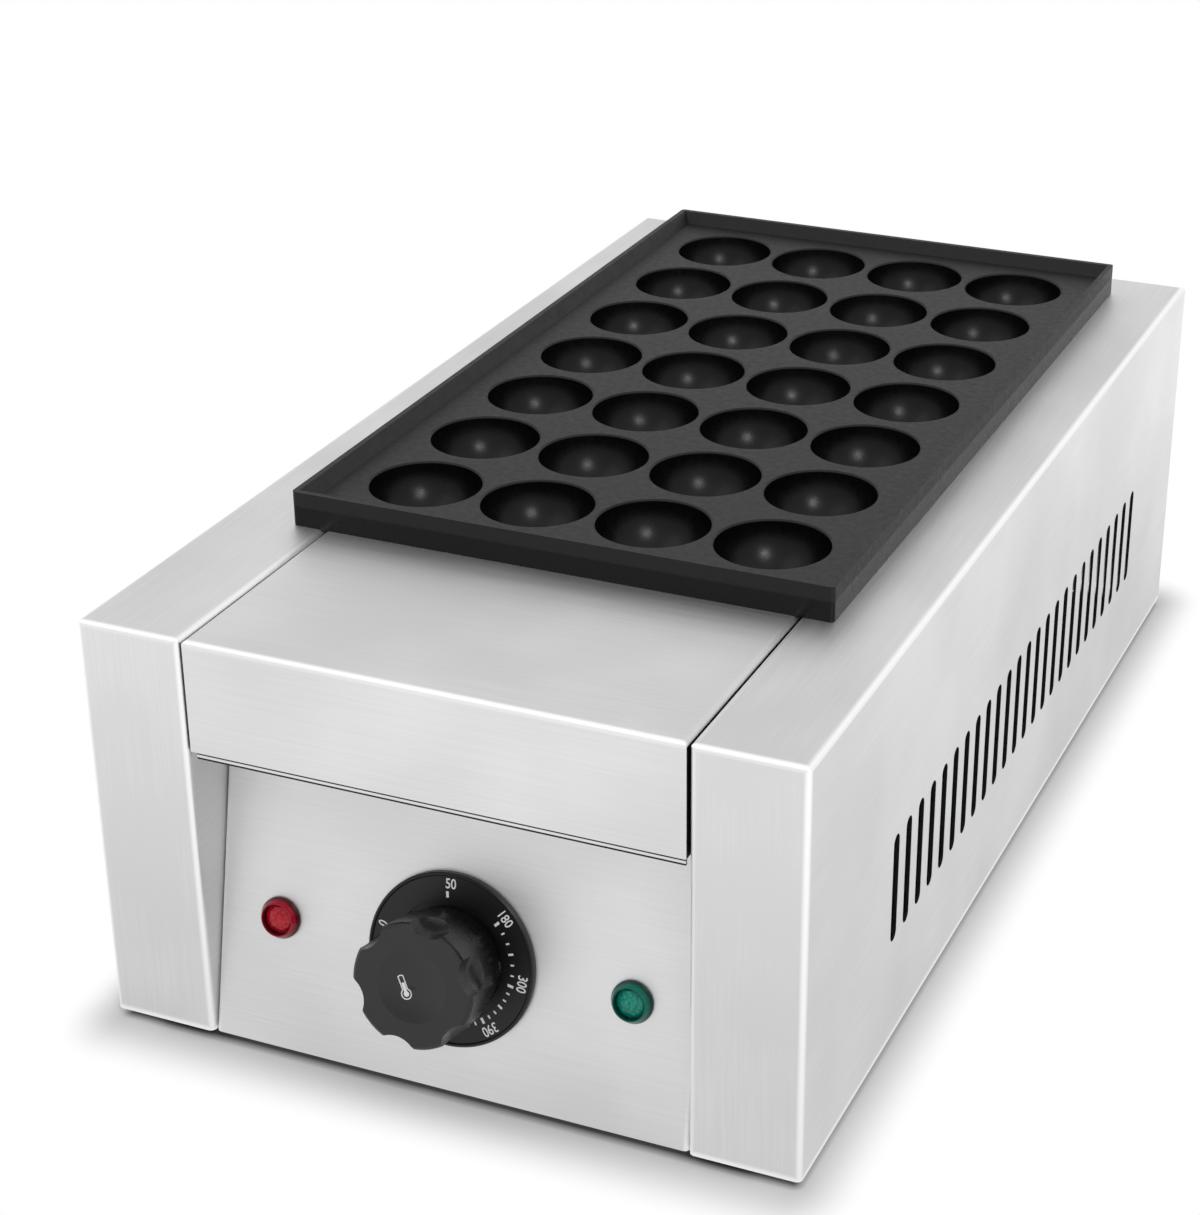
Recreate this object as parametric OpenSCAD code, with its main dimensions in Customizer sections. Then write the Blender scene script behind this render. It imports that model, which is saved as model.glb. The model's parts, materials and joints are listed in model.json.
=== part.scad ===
// Electric takoyaki maker: folded stainless body with vented wings, an inclined control panel
// with a thermostat knob, and a cast baking plate of hemispherical cups heated by clamped elements.
// The front faces -Y, +Z is up, and the origin is on the table under the middle of the machine.

/* [Body] */
// Width over both wings
body_w = 240; // [236:1:250]
// Length of the wings, front to back
body_l = 442; // [436:1:480]
// Height of the wings above their lower edge
body_h = 142; // [138:1:160]
// Width of each wing
wing_w = 36.5; // [34:0.5:38]
// Thickness of the stainless sheet
sheet = 1; // [0.8:0.1:1.2]
// Outer radius of the bends
bend_r = 2; // [1.6:0.1:3]
// Outer radius of the wings' top rear corners
rear_r = 7; // [3:0.5:12]
// Gap between the top cover and each wing
cover_gap = 0.8; // [0.4:0.1:1.2]
// Width of the flange under each side wall
foot_flange = 16; // [12:1:20]

/* [Top cover and panel] */
// Height of the cover's front lip
visor_h = 38; // [30:1:44]
// How far the hem hangs below the lip
hem_drop = 3.4; // [1:0.1:4]
// Setback of the hem behind the lip
hem_in = 2.2; // [1.2:0.1:4]
// Lean of the control panel from the vertical, in degrees
panel_tilt = 12.2; // [9:0.1:15]
// Setback of the panel's lower edge behind the wing fronts
panel_toe = 1; // [0.6:0.1:3]
// Depth of the panel's folded edges
panel_flange = 14; // [10:1:20]
// Depth of the cheek folded in behind each wing front
cheek = 34; // [30:1:44]

/* [Vents] */
// Number of slots in each side
slot_count = 25; // [15:1:27]
// Distance between slots
slot_pitch = 12.15; // [10:0.05:12.5]
// Width of a slot
slot_w = 5.6; // [3:0.1:7]
// Height of a slot
slot_h = 39; // [25:1:50]
// Height of the slots' centres above the wings' lower edge
slot_z = 57.4; // [45:0.1:70]
// Distance from the front to the first slot's centre
slot_front = 81; // [70:1:90]

/* [Baking plate] */
// Columns of cups, side to side
cup_cols = 4; // [2:1:4]
// Rows of cups, front to back
cup_rows = 7; // [5:1:7]
// Distance between columns
pitch_x = 41.4; // [40:0.1:43]
// Distance between rows
pitch_y = 44.4; // [43:0.1:46]
// Inside radius of a cup
cup_r = 19; // [17:0.1:19.5]
// Wall of a cup
cup_wall = 3; // [2:0.1:3.4]
// Chamfer round the mouth of a cup
cup_edge = 0.6; // [0.2:0.1:1]
// Margin from the outer cup centres to the plate's sides
margin_x = 32.5; // [31:0.1:34]
// Margin from the end cup centres to the plate's ends
margin_y = 32.2; // [31:0.1:36]
// Overall height of the plate above the deck
plate_h = 12; // [10:0.5:14]
// Depth of the tray inside the rim
rim_depth = 4.5; // [3:0.1:6]
// Width of the rim's top edge
rim_top = 2; // [1.5:0.1:3]
// Width of the rim where it meets the tray floor
rim_foot = 5; // [4:0.1:7]
// Thickness of the tray floor
floor_t = 4; // [3:0.1:5]
// Thickness of the skirt that stands on the body
skirt_t = 4; // [3:0.1:6]
// Distance from the wing fronts to the plate
plate_front = 88; // [84:1:96]
// Least depth of the deck behind the plate
rear_strip = 14; // [12:1:22]
// How far the deck reaches in under the plate
ledge = 9; // [7:0.5:10]

/* [Heating] */
// Diameter of the tubular elements
element_d = 6.5; // [6:0.1:7.5]
// Depth of the elements' centres below the tray floor
element_depth = 14.5; // [13.5:0.1:16]
// Width of the clamp bars
bar_w = 12; // [9:0.5:13]
// Thickness of the clamp bars
bar_t = 3; // [2:0.5:4]
// Gap between the clamp screws and the heat shield
shield_gap = 6; // [4:0.5:10]
// Diameter of the sensor bulb
bulb_d = 6; // [5:0.1:6.4]
// Length of the sensor bulb
bulb_l = 33; // [24:1:34]
// Diameter of the capillary tube
capillary_d = 2.4; // [1.6:0.1:3]

/* [Controls] */
// Height of the dial's centre up the inclined panel
dial_s = 44.3; // [42:0.1:52]
// Diameter of the dial ring
dial_d = 57; // [54:0.5:64]
// Thickness of the dial ring
dial_t = 2.2; // [1.8:0.1:4]
// Diameter of the well inside the dial ring
dial_well_d = 39.4; // [38:0.1:42]
// Diameter of the knob's grip
knob_d = 40.6; // [36:0.1:44]
// Diameter of the knob's foot, over the well
knob_foot_d = 34.4; // [32:0.1:39]
// Distance from the panel to the knob's face
knob_reach = 27.8; // [24:0.1:32]
// Number of finger scoops
scoop_count = 6; // [4:1:8]
// Radius of a finger scoop
scoop_r = 8.3; // [5:0.1:9]
// Depth of a finger scoop at the knob's face
scoop_depth = 3.2; // [1.5:0.1:4]
// Distance from a scoop's deep point to the knob's face
scoop_back = 4.5; // [3:0.1:8]
// Diameter of the dished middle of the knob's face
knob_dish_d = 23; // [16:0.1:26]
// Depth of that dish
knob_dish = 1.3; // [0.6:0.1:2]
// Diameter of the thermostat's shaft
shaft_d = 6; // [5:0.1:7]
// Distance from the dial's centre to each lamp
lamp_x = 61; // [52:0.5:66]
// Diameter of a lamp's flange
lamp_d = 13.8; // [11:0.1:16]
// How far a lamp's lens stands out of the panel
lamp_reach = 3.4; // [3:0.1:7]

/* [Base and rear] */
// Gap between the table and the wings' lower edge
foot_gap = 3; // [2.6:0.1:8]
// Diameter of a rubber foot
foot_d = 18; // [14:0.5:20]
// Distance from the sides of the body to each foot
foot_x = 30; // [28:1:34]
// Distance from the ends of the body to each foot
foot_y = 50; // [46:1:70]
// Diameter of the cable gland's thread
gland_d = 16; // [12:1:20]
// Height of the cable gland above the wings' lower edge
gland_z = 32; // [24:1:60]
// Distance of the cable gland to the left of the middle
gland_x = 52; // [20:1:60]

/* [Hidden] */
$fn = 48;
round_fn = 96;
big = 600;            // reach of a cut that leaves the part
lap = 0.5;            // overlap of two shapes that become one solid
fit = 0.05;           // radial running clearance
slack = 0.3;          // clearance between separate pieces

// body
half_w = body_w / 2;
wing_in = half_w - wing_w;
cover_half = wing_in - cover_gap;
visor_z = body_h - visor_h;
cheek_h = 8;          // drop of the flange along a wing's inner top edge
rear_fold = 14;       // depth of the folds at the rear
pan_t = sheet;
pan_z = sheet;        // underside of the base pan, on top of the flanges
pan_up = 12;          // height of the pan's turned-up edges

// baking plate
plate_w = (cup_cols - 1) * pitch_x + 2 * margin_x;
plate_l = (cup_rows - 1) * pitch_y + 2 * margin_y;
plate_y = min(plate_front, body_l - rear_strip - plate_l);     // a short body brings the plate forward
plate_back = plate_y + plate_l;
floor_z = body_h + plate_h - rim_depth;
cup_out = cup_r + cup_wall;
cup_at_deck = sqrt(pow(cup_out, 2) - pow(floor_z - body_h, 2));
cut_half = (cup_cols - 1) / 2 * pitch_x + cup_at_deck + 2;   // half width of the hole for the cups
col_x = [for (i = [0 : cup_cols - 1]) (i - (cup_cols - 1) / 2) * pitch_x];
row_y = [for (i = [0 : cup_rows - 1]) plate_y + margin_y + i * pitch_y];

// plate fixings
stud_d = 5;
stud_inset = 5;       // from the plate's edges to a stud
stud_drop = 10;       // how far a stud hangs below the deck
nut_h = 4;
nut_af = 8;

// heating
element_r = element_d / 2;
element_z = floor_z - element_depth;
saddle_gap = 0.15;
clamp_z = element_z - element_r - saddle_gap;                 // top of the clamp bars
pair_rows = [for (i = [1 : 2 : cup_rows - 2]) i];             // rows that a hairpin goes round
clamp_x = [for (i = [0 : 2 : cup_cols - 2]) col_x[i] + pitch_x / 2];
leg_left = wing_in + 5;                                       // legs end inside the left wing
boss_d = 10;
screw_d = 5;
clamp_head = 3.5;
bush_d = 5;
pin_d = 2.6;
shield_z = clamp_z - bar_t - clamp_head - shield_gap;
shield_half = cut_half - 14;
shield_front = plate_y + ledge + 8;
shield_back = plate_back - ledge - 8;
bulb_r = bulb_d / 2;
bulb_z = floor_z - 18;
bulb_y0 = row_y[0] + pitch_y / 2 - element_r - 0.8 - bulb_l;
clip_t = 0.8;
clip_l = 9;

// controls
well_t = 0.8;         // floor of the dial ring's well
thermo_head_h = 1.6;
knob_base = thermo_head_h + 1;       // the knob turns over the screw heads
scoop_turn = 20;                     // angle of the first scoop from the right
dish_r = (pow(knob_dish_d / 2, 2) + pow(knob_dish, 2)) / 2 / knob_dish;
bush_r = 5;
thermo_w = 38;
thermo_d = 26;
thermo_screw_x = 14;
thermo_head_d = 6;
dial_in = thermo_screw_x + thermo_head_d / 2 + slack;   // the ring clears the screw heads
hair = 0.02;          // keeps pieces seated on the tilted panel from cutting into it
lamp_hole_d = 10;
lamp_body_l = 24;

// wiring pieces
block = [60, 22, 16];
block_at = [-32, body_l - 68];
earth_at = [30, body_l - 68];
earth_d = 5;

// screws
screw_m4 = 4;
screw_m3 = 3.2;
screw_head_d = 7.6;
screw_head_h = 2.2;
screw_hole = 4.4;
small_hole = 3.4;
stud_hole = stud_d + 0.6;

// feet and base
base_screw_in = 74;   // from the ends of the body
base_screw_x = 50;
pan_slots = 5;        // vent slots to each side of the middle one
pan_slot_front = 80;
pan_slot_rear = 192;
deck_screw_x = 60;
deck_screw_drop = 18;
foot_h = foot_gap + pan_z;
foot_nut_af = 7;
foot_web = 1.4;       // rubber under the screw's head
rear_t = sheet;
rear_half = half_w - 9;
rear_margin = 4;
rear_screw_x = rear_half - 10;
rear_screw_z = [20, body_h / 2, body_h - 22];
cover_head_d = 5;
cover_screw_y = [30, plate_y - 14];
cover_screw_z = body_h - bend_r - cover_head_d / 2 - 0.1;
gland_flange = 5;
gland_cap_l = 15;
gland_nut_h = 5;
gland_bore = 8;

// placing: the wings' front plane is y = 0 and their lower edge z = 0 before this shift
knob_front = knob_reach * cos(panel_tilt) + knob_d / 2 * sin(panel_tilt)
    - panel_toe - dial_s * sin(panel_tilt);
rear_end = body_l + rear_t + gland_flange + gland_cap_l;
shift_y = -(rear_end - knob_front) / 2;

module place() {
    translate([0, shift_y, foot_gap]) children();
}

// On the inclined panel: x across, y up the slope, z out of the face
module on_panel(x, s) {
    translate([x, panel_toe + s * sin(panel_tilt), s * cos(panel_tilt)])
        rotate([90 - panel_tilt, 0, 0])
            children();
}

module box(low, high) {
    translate(low) cube(high - low);
}

// Removes the square corner at (x, y) outside a round of radius r; dx and dy point into the shape
module corner_cut(x, y, dx, dy, r) {
    difference() {
        translate([dx > 0 ? x - 1 : x - r, dy > 0 ? y - 1 : y - r]) square(r + 1);
        translate([x + dx * r, y + dy * r]) circle(r);
    }
}

// Rectangle with a radius for each corner, in the order low-low, high-low, high-high, low-high
module round_rect(x0, y0, x1, y1, r) {
    difference() {
        translate([x0, y0]) square([x1 - x0, y1 - y0]);
        if (r[0] > 0) corner_cut(x0, y0, 1, 1, r[0]);
        if (r[1] > 0) corner_cut(x1, y0, -1, 1, r[1]);
        if (r[2] > 0) corner_cut(x1, y1, -1, -1, r[2]);
        if (r[3] > 0) corner_cut(x0, y1, 1, -1, r[3]);
    }
}

// Block from three crossed profiles, so that every folded edge is round
module folded_block(low, high, front_r, top_r, back_r, side_r, left_top_r) {
    intersection() {
        translate([0, 0, low[2]])
            linear_extrude(high[2] - low[2])
                round_rect(low[0], low[1], high[0], high[1], [front_r, front_r, side_r, side_r]);
        translate([0, high[1], 0]) rotate([90, 0, 0])
            linear_extrude(high[1] - low[1])
                round_rect(low[0], low[2], high[0], high[2], [0, 0, top_r, left_top_r]);
        translate([low[0], 0, 0]) rotate([90, 0, 90])
            linear_extrude(high[0] - low[0])
                round_rect(low[1], low[2], high[1], high[2], [0, 0, back_r, top_r]);
    }
}

// Slot with round ends through Z, its length along Y, centred on the origin
module slot(w, h, depth) {
    linear_extrude(depth, center = true)
        union() {
            square([w, h - w], center = true);
            translate([0, (h - w) / 2]) circle(d = w);
            translate([0, -(h - w) / 2]) circle(d = w);
        }
}

module hex_nut(af, h, bore) {
    difference() {
        cylinder(d = af / cos(30), h = h, $fn = 6);
        translate([0, 0, -1]) cylinder(d = bore, h = h + 2);
    }
}

// Pan-head screw with its head below z = 0 and its shank going up
module pan_screw(d, length, head_d, head_h) {
    union() {
        cylinder(d = d, h = length);
        translate([0, 0, -head_h])
            difference() {
                cylinder(d1 = head_d * 0.72, d2 = head_d, h = head_h);
                for (a = [0, 90])
                    rotate([0, 0, a])
                        translate([-head_d * 0.3, -0.4, -1]) cube([head_d * 0.6, 0.8, 1 + head_h * 0.45]);
            }
    }
}

base_points = concat(
    [for (x = [-1, 1], y = [base_screw_in, body_l / 2, body_l - base_screw_in])
        [x * (half_w - foot_flange / 2 - 1), y]],
    [for (x = [-1, 1]) [x * base_screw_x, panel_toe + 8]]
);

module feet_at() {
    for (x = [-1, 1], y = [foot_y, body_l - foot_y])
        translate([x * (half_w - foot_x), y, 0]) children();
}

module shield_at() {
    for (x = [-1, 1], y = [shield_front + 25, shield_back - 25])
        translate([x * (shield_half + 7), y, pan_z + pan_t]) children();
}

module studs_at() {
    for (x = [-1, 1], y = [plate_y + stud_inset, plate_back - stud_inset])
        translate([x * (plate_w / 2 - stud_inset), y, body_h]) children();
}

module clamps_at() {
    for (x = clamp_x, i = pair_rows)
        translate([x, row_y[i], clamp_z]) children();
}

// ---- body ----

module wing() {
    inner_r = max(bend_r - sheet, 0.2);
    difference() {
        union() {
            difference() {
                folded_block([wing_in, 0, 0], [half_w, body_l, body_h],
                    bend_r, bend_r, rear_r, bend_r, bend_r);
                folded_block([wing_in + sheet, sheet, -1], [half_w - sheet, body_l - sheet, body_h - sheet],
                    inner_r, inner_r, rear_r - sheet, inner_r, inner_r);
            }
            box([half_w - foot_flange, sheet / 2, 0], [half_w - sheet / 2, body_l - sheet / 2, sheet]);
        }
        // the inner side is open between the cheek, the top flange and the rear fold
        box([wing_in - 1, cheek, -1], [wing_in + sheet + 1, body_l - rear_fold, body_h - cheek_h]);
        // room for the cups under the plate
        box([wing_in - 1, plate_y + ledge, body_h - cheek_h - 1],
            [cut_half, plate_back - ledge, body_h + 1]);
        for (i = [0 : slot_count - 1])
            translate([half_w - sheet / 2, slot_front + i * slot_pitch, slot_z])
                rotate([90, 0, 90]) slot(slot_w, slot_h, sheet * 4);
        for (p = base_points)
            if (p[0] > wing_in) translate([p[0], p[1], -1]) cylinder(d = screw_hole, h = sheet + 2);
        studs_at() cylinder(d = stud_hole, h = sheet * 4, center = true);
        for (y = cover_screw_y)
            translate([wing_in - 1, y, cover_screw_z]) rotate([0, 90, 0])
                cylinder(d = small_hole, h = sheet + 2);
        for (z = rear_screw_z)
            translate([rear_screw_x, body_l + 1, z]) rotate([90, 0, 0])
                cylinder(d = screw_hole, h = sheet + 2);
    }
}

module right_wing() {
    color([0.78, 0.78, 0.79]) place() wing();
}

module left_wing() {
    color([0.78, 0.78, 0.79]) place() mirror([1, 0, 0]) wing();
}

module top_cover() {
    inner_r = max(bend_r - sheet, 0.2);
    back = plate_y + ledge;
    return_y = panel_toe + visor_z * tan(panel_tilt) - slack;
    color([0.80, 0.80, 0.81]) place()
        difference() {
            union() {
                folded_block([-cover_half, 0, visor_z], [cover_half, back, body_h],
                    0.6, bend_r, 0, 0, bend_r);
                // hem of the lip's return
                box([-cover_half + sheet, hem_in, visor_z - hem_drop],
                    [cover_half - sheet, hem_in + sheet, visor_z + sheet / 2]);
            }
            folded_block([-cover_half + sheet, sheet, visor_z + sheet],
                [cover_half - sheet, back + 1, body_h - sheet], 0.2, inner_r, 0, 0, inner_r);
            // behind the lip's return only the deck and its side flanges go on
            box([-big, return_y, visor_z - hem_drop - 1], [big, back + 1, body_h - cheek_h]);
            for (x = [-1, 1], y = cover_screw_y)
                translate([x * cover_half, y, cover_screw_z]) rotate([0, 90, 0])
                    cylinder(d = small_hole, h = sheet * 4, center = true);
            studs_at() cylinder(d = stud_hole, h = sheet * 4, center = true);
        }
}

module rear_deck() {
    inner_r = max(bend_r - sheet, 0.2);
    front = plate_back - ledge;
    back = body_l - 0.2;
    drop = 26;
    color([0.78, 0.78, 0.79]) place()
        difference() {
            folded_block([-cover_half, front, body_h - drop], [cover_half, back, body_h],
                0, bend_r, bend_r, 0.6, bend_r);
            folded_block([-cover_half + sheet, front - 1, body_h - drop - 1],
                [cover_half - sheet, back - sheet, body_h - sheet], 0, 0, inner_r, 0.2, inner_r);
            // the front is open, and only the rear fold is deep
            box([-big, front - 1, body_h - drop - 1], [big, back - sheet * 2, body_h - cheek_h]);
            for (x = [-1, 1])
                translate([x * deck_screw_x, back + 1, body_h - deck_screw_drop]) rotate([90, 0, 0])
                    cylinder(d = screw_hole, h = sheet + 3);
            studs_at() cylinder(d = stud_hole, h = sheet * 4, center = true);
        }
}

module control_panel() {
    half = wing_in - slack;
    top_s = (visor_z + 10) / cos(panel_tilt);
    inner_r = max(bend_r - sheet, 0.2);
    color([0.76, 0.76, 0.77]) place()
        difference() {
            union() {
                intersection() {
                    on_panel(0, 0)
                        difference() {
                            // tray folded back on both sides and along the top
                            translate([0, -20, 0]) rotate([-90, 0, 0])
                                linear_extrude(20 + top_s)
                                    round_rect(-half, 0, half, panel_flange, [bend_r, bend_r, 0, 0]);
                            translate([0, -21, 0]) rotate([-90, 0, 0])
                                linear_extrude(21 + top_s - sheet)
                                    round_rect(-half + sheet, sheet, half - sheet, panel_flange + 1,
                                        [inner_r, inner_r, 0, 0]);
                        }
                    box([-big, -big, 0], [big, big, big]);
                }
                // fold under the base pan, relieved at its ends
                box([-half + bend_r * 2, panel_toe + sheet / 2, 0],
                    [half - bend_r * 2, panel_toe + panel_flange + 4, sheet]);
            }
            on_panel(0, dial_s) cylinder(d = bush_r * 2 + 0.6, h = 8, center = true);
            for (x = [-1, 1]) {
                on_panel(x * thermo_screw_x, dial_s) cylinder(d = screw_hole, h = 8, center = true);
                on_panel(x * lamp_x, dial_s) cylinder(d = lamp_hole_d + 0.4, h = 8, center = true);
            }
            for (p = base_points)
                if (abs(p[0]) < wing_in) translate([p[0], p[1], -1]) cylinder(d = screw_hole, h = sheet + 2);
        }
}

module rear_panel() {
    color([0.75, 0.75, 0.76]) place()
        difference() {
            translate([0, body_l + rear_t, 0]) rotate([90, 0, 0])
                linear_extrude(rear_t)
                    round_rect(-rear_half, rear_margin, rear_half, body_h - rear_margin, [3, 3, 3, 3]);
            for (x = [-1, 1], z = rear_screw_z)
                translate([x * rear_screw_x, body_l - 1, z]) rotate([-90, 0, 0])
                    cylinder(d = screw_hole, h = rear_t + 2);
            for (x = [-1, 1])
                translate([x * deck_screw_x, body_l - 1, body_h - deck_screw_drop]) rotate([-90, 0, 0])
                    cylinder(d = screw_hole, h = rear_t + 2);
            translate([-gland_x, body_l - 1, gland_z]) rotate([-90, 0, 0])
                cylinder(d = gland_d + 0.4, h = rear_t + 2);
        }
}

module base_pan() {
    front = panel_toe + sheet + 3;
    half_mid = half_w - sheet - slack;
    half_end = wing_in - slack - sheet - 1;
    color([0.66, 0.66, 0.67]) place()
        difference() {
            union() {
                box([-half_mid, cheek + slack, pan_z], [half_mid, body_l - rear_fold - slack, pan_z + pan_t]);
                box([-half_end, front, pan_z], [half_end, body_l - sheet - 2, pan_z + pan_t]);
                // turned-up edge at the rear
                box([-half_end, body_l - sheet - 2 - pan_t, pan_z],
                    [half_end, body_l - sheet - 2, pan_z + pan_up]);
            }
            for (p = base_points)
                translate([p[0], p[1], 0]) cylinder(d = small_hole, h = pan_z + pan_t + 1);
            feet_at() cylinder(d = screw_hole, h = 20, center = true);
            shield_at() cylinder(d = screw_hole, h = 20, center = true);
            // vent slots under the front and the middle
            for (x = [-pan_slots : pan_slots], y = [pan_slot_front, body_l - pan_slot_rear])
                translate([x * slot_pitch, y, pan_z]) slot(slot_w, slot_h, pan_t * 4);
            translate([earth_at[0], earth_at[1], 0]) cylinder(d = earth_d + 0.2, h = 10);
        }
}

// ---- baking plate ----

// Straight-sided bowl with sloping walls: a at the bottom, b at the top, from z0 to z1
module sloped_box(xa, xb, ya0, yb0, ya1, yb1, z0, z1) {
    intersection() {
        translate([0, big / 2 + (ya0 + ya1) / 2, 0]) rotate([90, 0, 0])
            linear_extrude(big)
                polygon([[-xa, z0], [xa, z0], [xb, z1], [-xb, z1]]);
        translate([-big / 2, 0, 0]) rotate([90, 0, 90])
            linear_extrude(big)
                polygon([[ya0, z0], [ya1, z0], [yb1, z1], [yb0, z1]]);
    }
}

module baking_plate() {
    half = plate_w / 2;
    under_z = floor_z - floor_t;
    slope = (rim_foot - rim_top) / rim_depth;
    over = 1;
    color([0.10, 0.10, 0.11]) place()
        difference() {
            union() {
                difference() {
                    translate([0, 0, body_h])
                        linear_extrude(plate_h)
                            round_rect(-half, plate_y, half, plate_back, [1.5, 1.5, 1.5, 1.5]);
                    // hollow under the tray, inside the skirt
                    box([-half + skirt_t, plate_y + skirt_t, body_h - 1],
                        [half - skirt_t, plate_back - skirt_t, under_z]);
                }
                // outsides of the cups
                for (x = col_x, y = row_y)
                    translate([x, y, floor_z])
                        difference() {
                            sphere(cup_out, $fn = round_fn);
                            translate([-big / 2, -big / 2, -floor_t / 2]) cube(big);
                        }
                // saddles that the elements lie in
                for (i = pair_rows, side = [-1, 1])
                    box([col_x[0], row_y[i] + side * pitch_y / 2 - element_r - 1, element_z],
                        [col_x[cup_cols - 1], row_y[i] + side * pitch_y / 2 + element_r + 1, under_z + lap]);
                // bosses for the clamp screws
                clamps_at() cylinder(d = boss_d, h = under_z - clamp_z + lap);
                // rib that carries the bulb's clip
                box([-2.5, row_y[0] - clip_l / 2 - 1, bulb_z + bulb_r + slack + clip_t * 2],
                    [2.5, row_y[0] + clip_l / 2 + 1, under_z + lap]);
                // corner bosses over the studs
                studs_at() cylinder(d = stud_d + 4, h = under_z - body_h + lap);
            }
            sloped_box(half - rim_foot, half - rim_top + slope * over,
                plate_y + rim_foot, plate_y + rim_top - slope * over,
                plate_back - rim_foot, plate_back - rim_top + slope * over,
                floor_z, floor_z + rim_depth + over);
            for (x = col_x, y = row_y)
                translate([x, y, floor_z]) {
                    sphere(cup_r, $fn = round_fn);
                    translate([0, 0, -cup_edge])
                        cylinder(r1 = cup_r - 0.1, r2 = cup_r + cup_edge * 2, h = cup_edge * 2,
                            $fn = round_fn);
                }
            for (i = pair_rows, side = [-1, 1])
                translate([0, row_y[i] + side * pitch_y / 2, element_z]) rotate([0, 90, 0])
                    cylinder(r = element_r + saddle_gap, h = big, center = true);
            clamps_at() translate([0, 0, -1]) cylinder(d = screw_d + 0.2, h = 10);
            studs_at() translate([0, 0, -1]) cylinder(d = stud_d + 0.2, h = 6);
        }
}

module plate_studs() {
    color([0.7, 0.7, 0.7]) place()
        studs_at() translate([0, 0, -stud_drop]) cylinder(d = stud_d, h = stud_drop + 4.6);
}

module plate_nuts() {
    color([0.7, 0.7, 0.7]) place()
        studs_at() translate([0, 0, -sheet - nut_h]) rotate([0, 0, 30]) hex_nut(nut_af, nut_h, stud_d + 0.2);
}

// ---- heating ----

module heating_elements() {
    turn_x = col_x[cup_cols - 1];
    color([0.22, 0.20, 0.19]) place()
        for (i = pair_rows)
            translate([0, row_y[i], element_z])
                union() {
                    for (side = [-1, 1])
                        translate([-leg_left, side * pitch_y / 2, 0]) rotate([0, 90, 0])
                            cylinder(r = element_r, h = leg_left + turn_x);
                    translate([turn_x, 0, 0]) rotate([0, 0, -90])
                        rotate_extrude(angle = 180, $fn = round_fn)
                            translate([pitch_y / 2, 0]) circle(r = element_r);
                }
}

module element_terminals() {
    color([0.9, 0.88, 0.82]) place()
        for (i = pair_rows, side = [-1, 1])
            translate([-leg_left, row_y[i] + side * pitch_y / 2, element_z]) rotate([0, -90, 0])
                union() {
                    cylinder(d = bush_d, h = 7);
                    cylinder(d = pin_d, h = 16);
                    translate([-0.4, -3, 14]) cube([0.8, 6, 8]);
                }
}

module clamp_bars() {
    end = 14;
    color([0.55, 0.55, 0.56]) place()
        for (x = clamp_x)
            difference() {
                box([x - bar_w / 2, row_y[pair_rows[0]] - pitch_y / 2 - end, clamp_z - bar_t],
                    [x + bar_w / 2, row_y[pair_rows[len(pair_rows) - 1]] + pitch_y / 2 + end, clamp_z]);
                for (i = pair_rows)
                    translate([x, row_y[i], clamp_z - bar_t - 1]) cylinder(d = screw_d + 0.6, h = bar_t + 2);
            }
}

module clamp_screws() {
    color([0.7, 0.7, 0.7]) place()
        clamps_at()
            translate([0, 0, -bar_t - clamp_head])
                union() {
                    cylinder(d = 8 / cos(30), h = clamp_head, $fn = 6);
                    cylinder(d = screw_d, h = clamp_head + bar_t + 8);
                }
}

module heat_shield() {
    foot = 14;
    base_z = pan_z + pan_t;
    color([0.72, 0.72, 0.73]) place()
        difference() {
            union() {
                translate([0, shield_back, 0]) rotate([90, 0, 0])
                    linear_extrude(shield_back - shield_front)
                        difference() {
                            round_rect(-shield_half, base_z, shield_half, shield_z, [0, 0, bend_r, bend_r]);
                            round_rect(-shield_half + sheet, base_z - 1,
                                shield_half - sheet, shield_z - sheet,
                                [0, 0, bend_r - sheet / 2, bend_r - sheet / 2]);
                        }
                for (x = [-1, 1])
                    box([x < 0 ? -shield_half - foot : shield_half - sheet / 2, shield_front, base_z],
                        [x < 0 ? -shield_half + sheet / 2 : shield_half + foot, shield_back, base_z + sheet]);
            }
            shield_at() cylinder(d = screw_hole, h = 20, center = true);
            // windows that let the cooling air through the legs
            for (y = [shield_front + 46 : 52 : shield_back - 40])
                box([-big, y, base_z + 22], [big, y + 30, shield_z - 30]);
        }
}

module shield_screws() {
    color([0.7, 0.7, 0.7]) place()
        shield_at() translate([0, 0, sheet]) rotate([180, 0, 0])
            pan_screw(screw_m4, sheet + pan_t + 1.6, screw_head_d, screw_head_h);
}

module sensor_bulb() {
    color([0.72, 0.5, 0.3]) place()
        translate([0, bulb_y0, bulb_z]) rotate([-90, 0, 0])
            union() {
                cylinder(d = bulb_d, h = bulb_l - bulb_r);
                translate([0, 0, bulb_l - bulb_r]) sphere(d = bulb_d);
                translate([0, 0, -2]) cylinder(d = capillary_d + 1, h = 3);
            }
}

module bulb_clip() {
    clip_r = bulb_r + fit * 2;
    color([0.75, 0.75, 0.76]) place()
        translate([0, row_y[0] + clip_l / 2, bulb_z]) rotate([90, 0, 0])
            linear_extrude(clip_l)
                difference() {
                    union() {
                        circle(r = clip_r + clip_t);
                        translate([-2.5, 0]) square([5, bulb_r + slack + clip_t * 2]);
                    }
                    circle(r = clip_r);
                }
}

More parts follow.
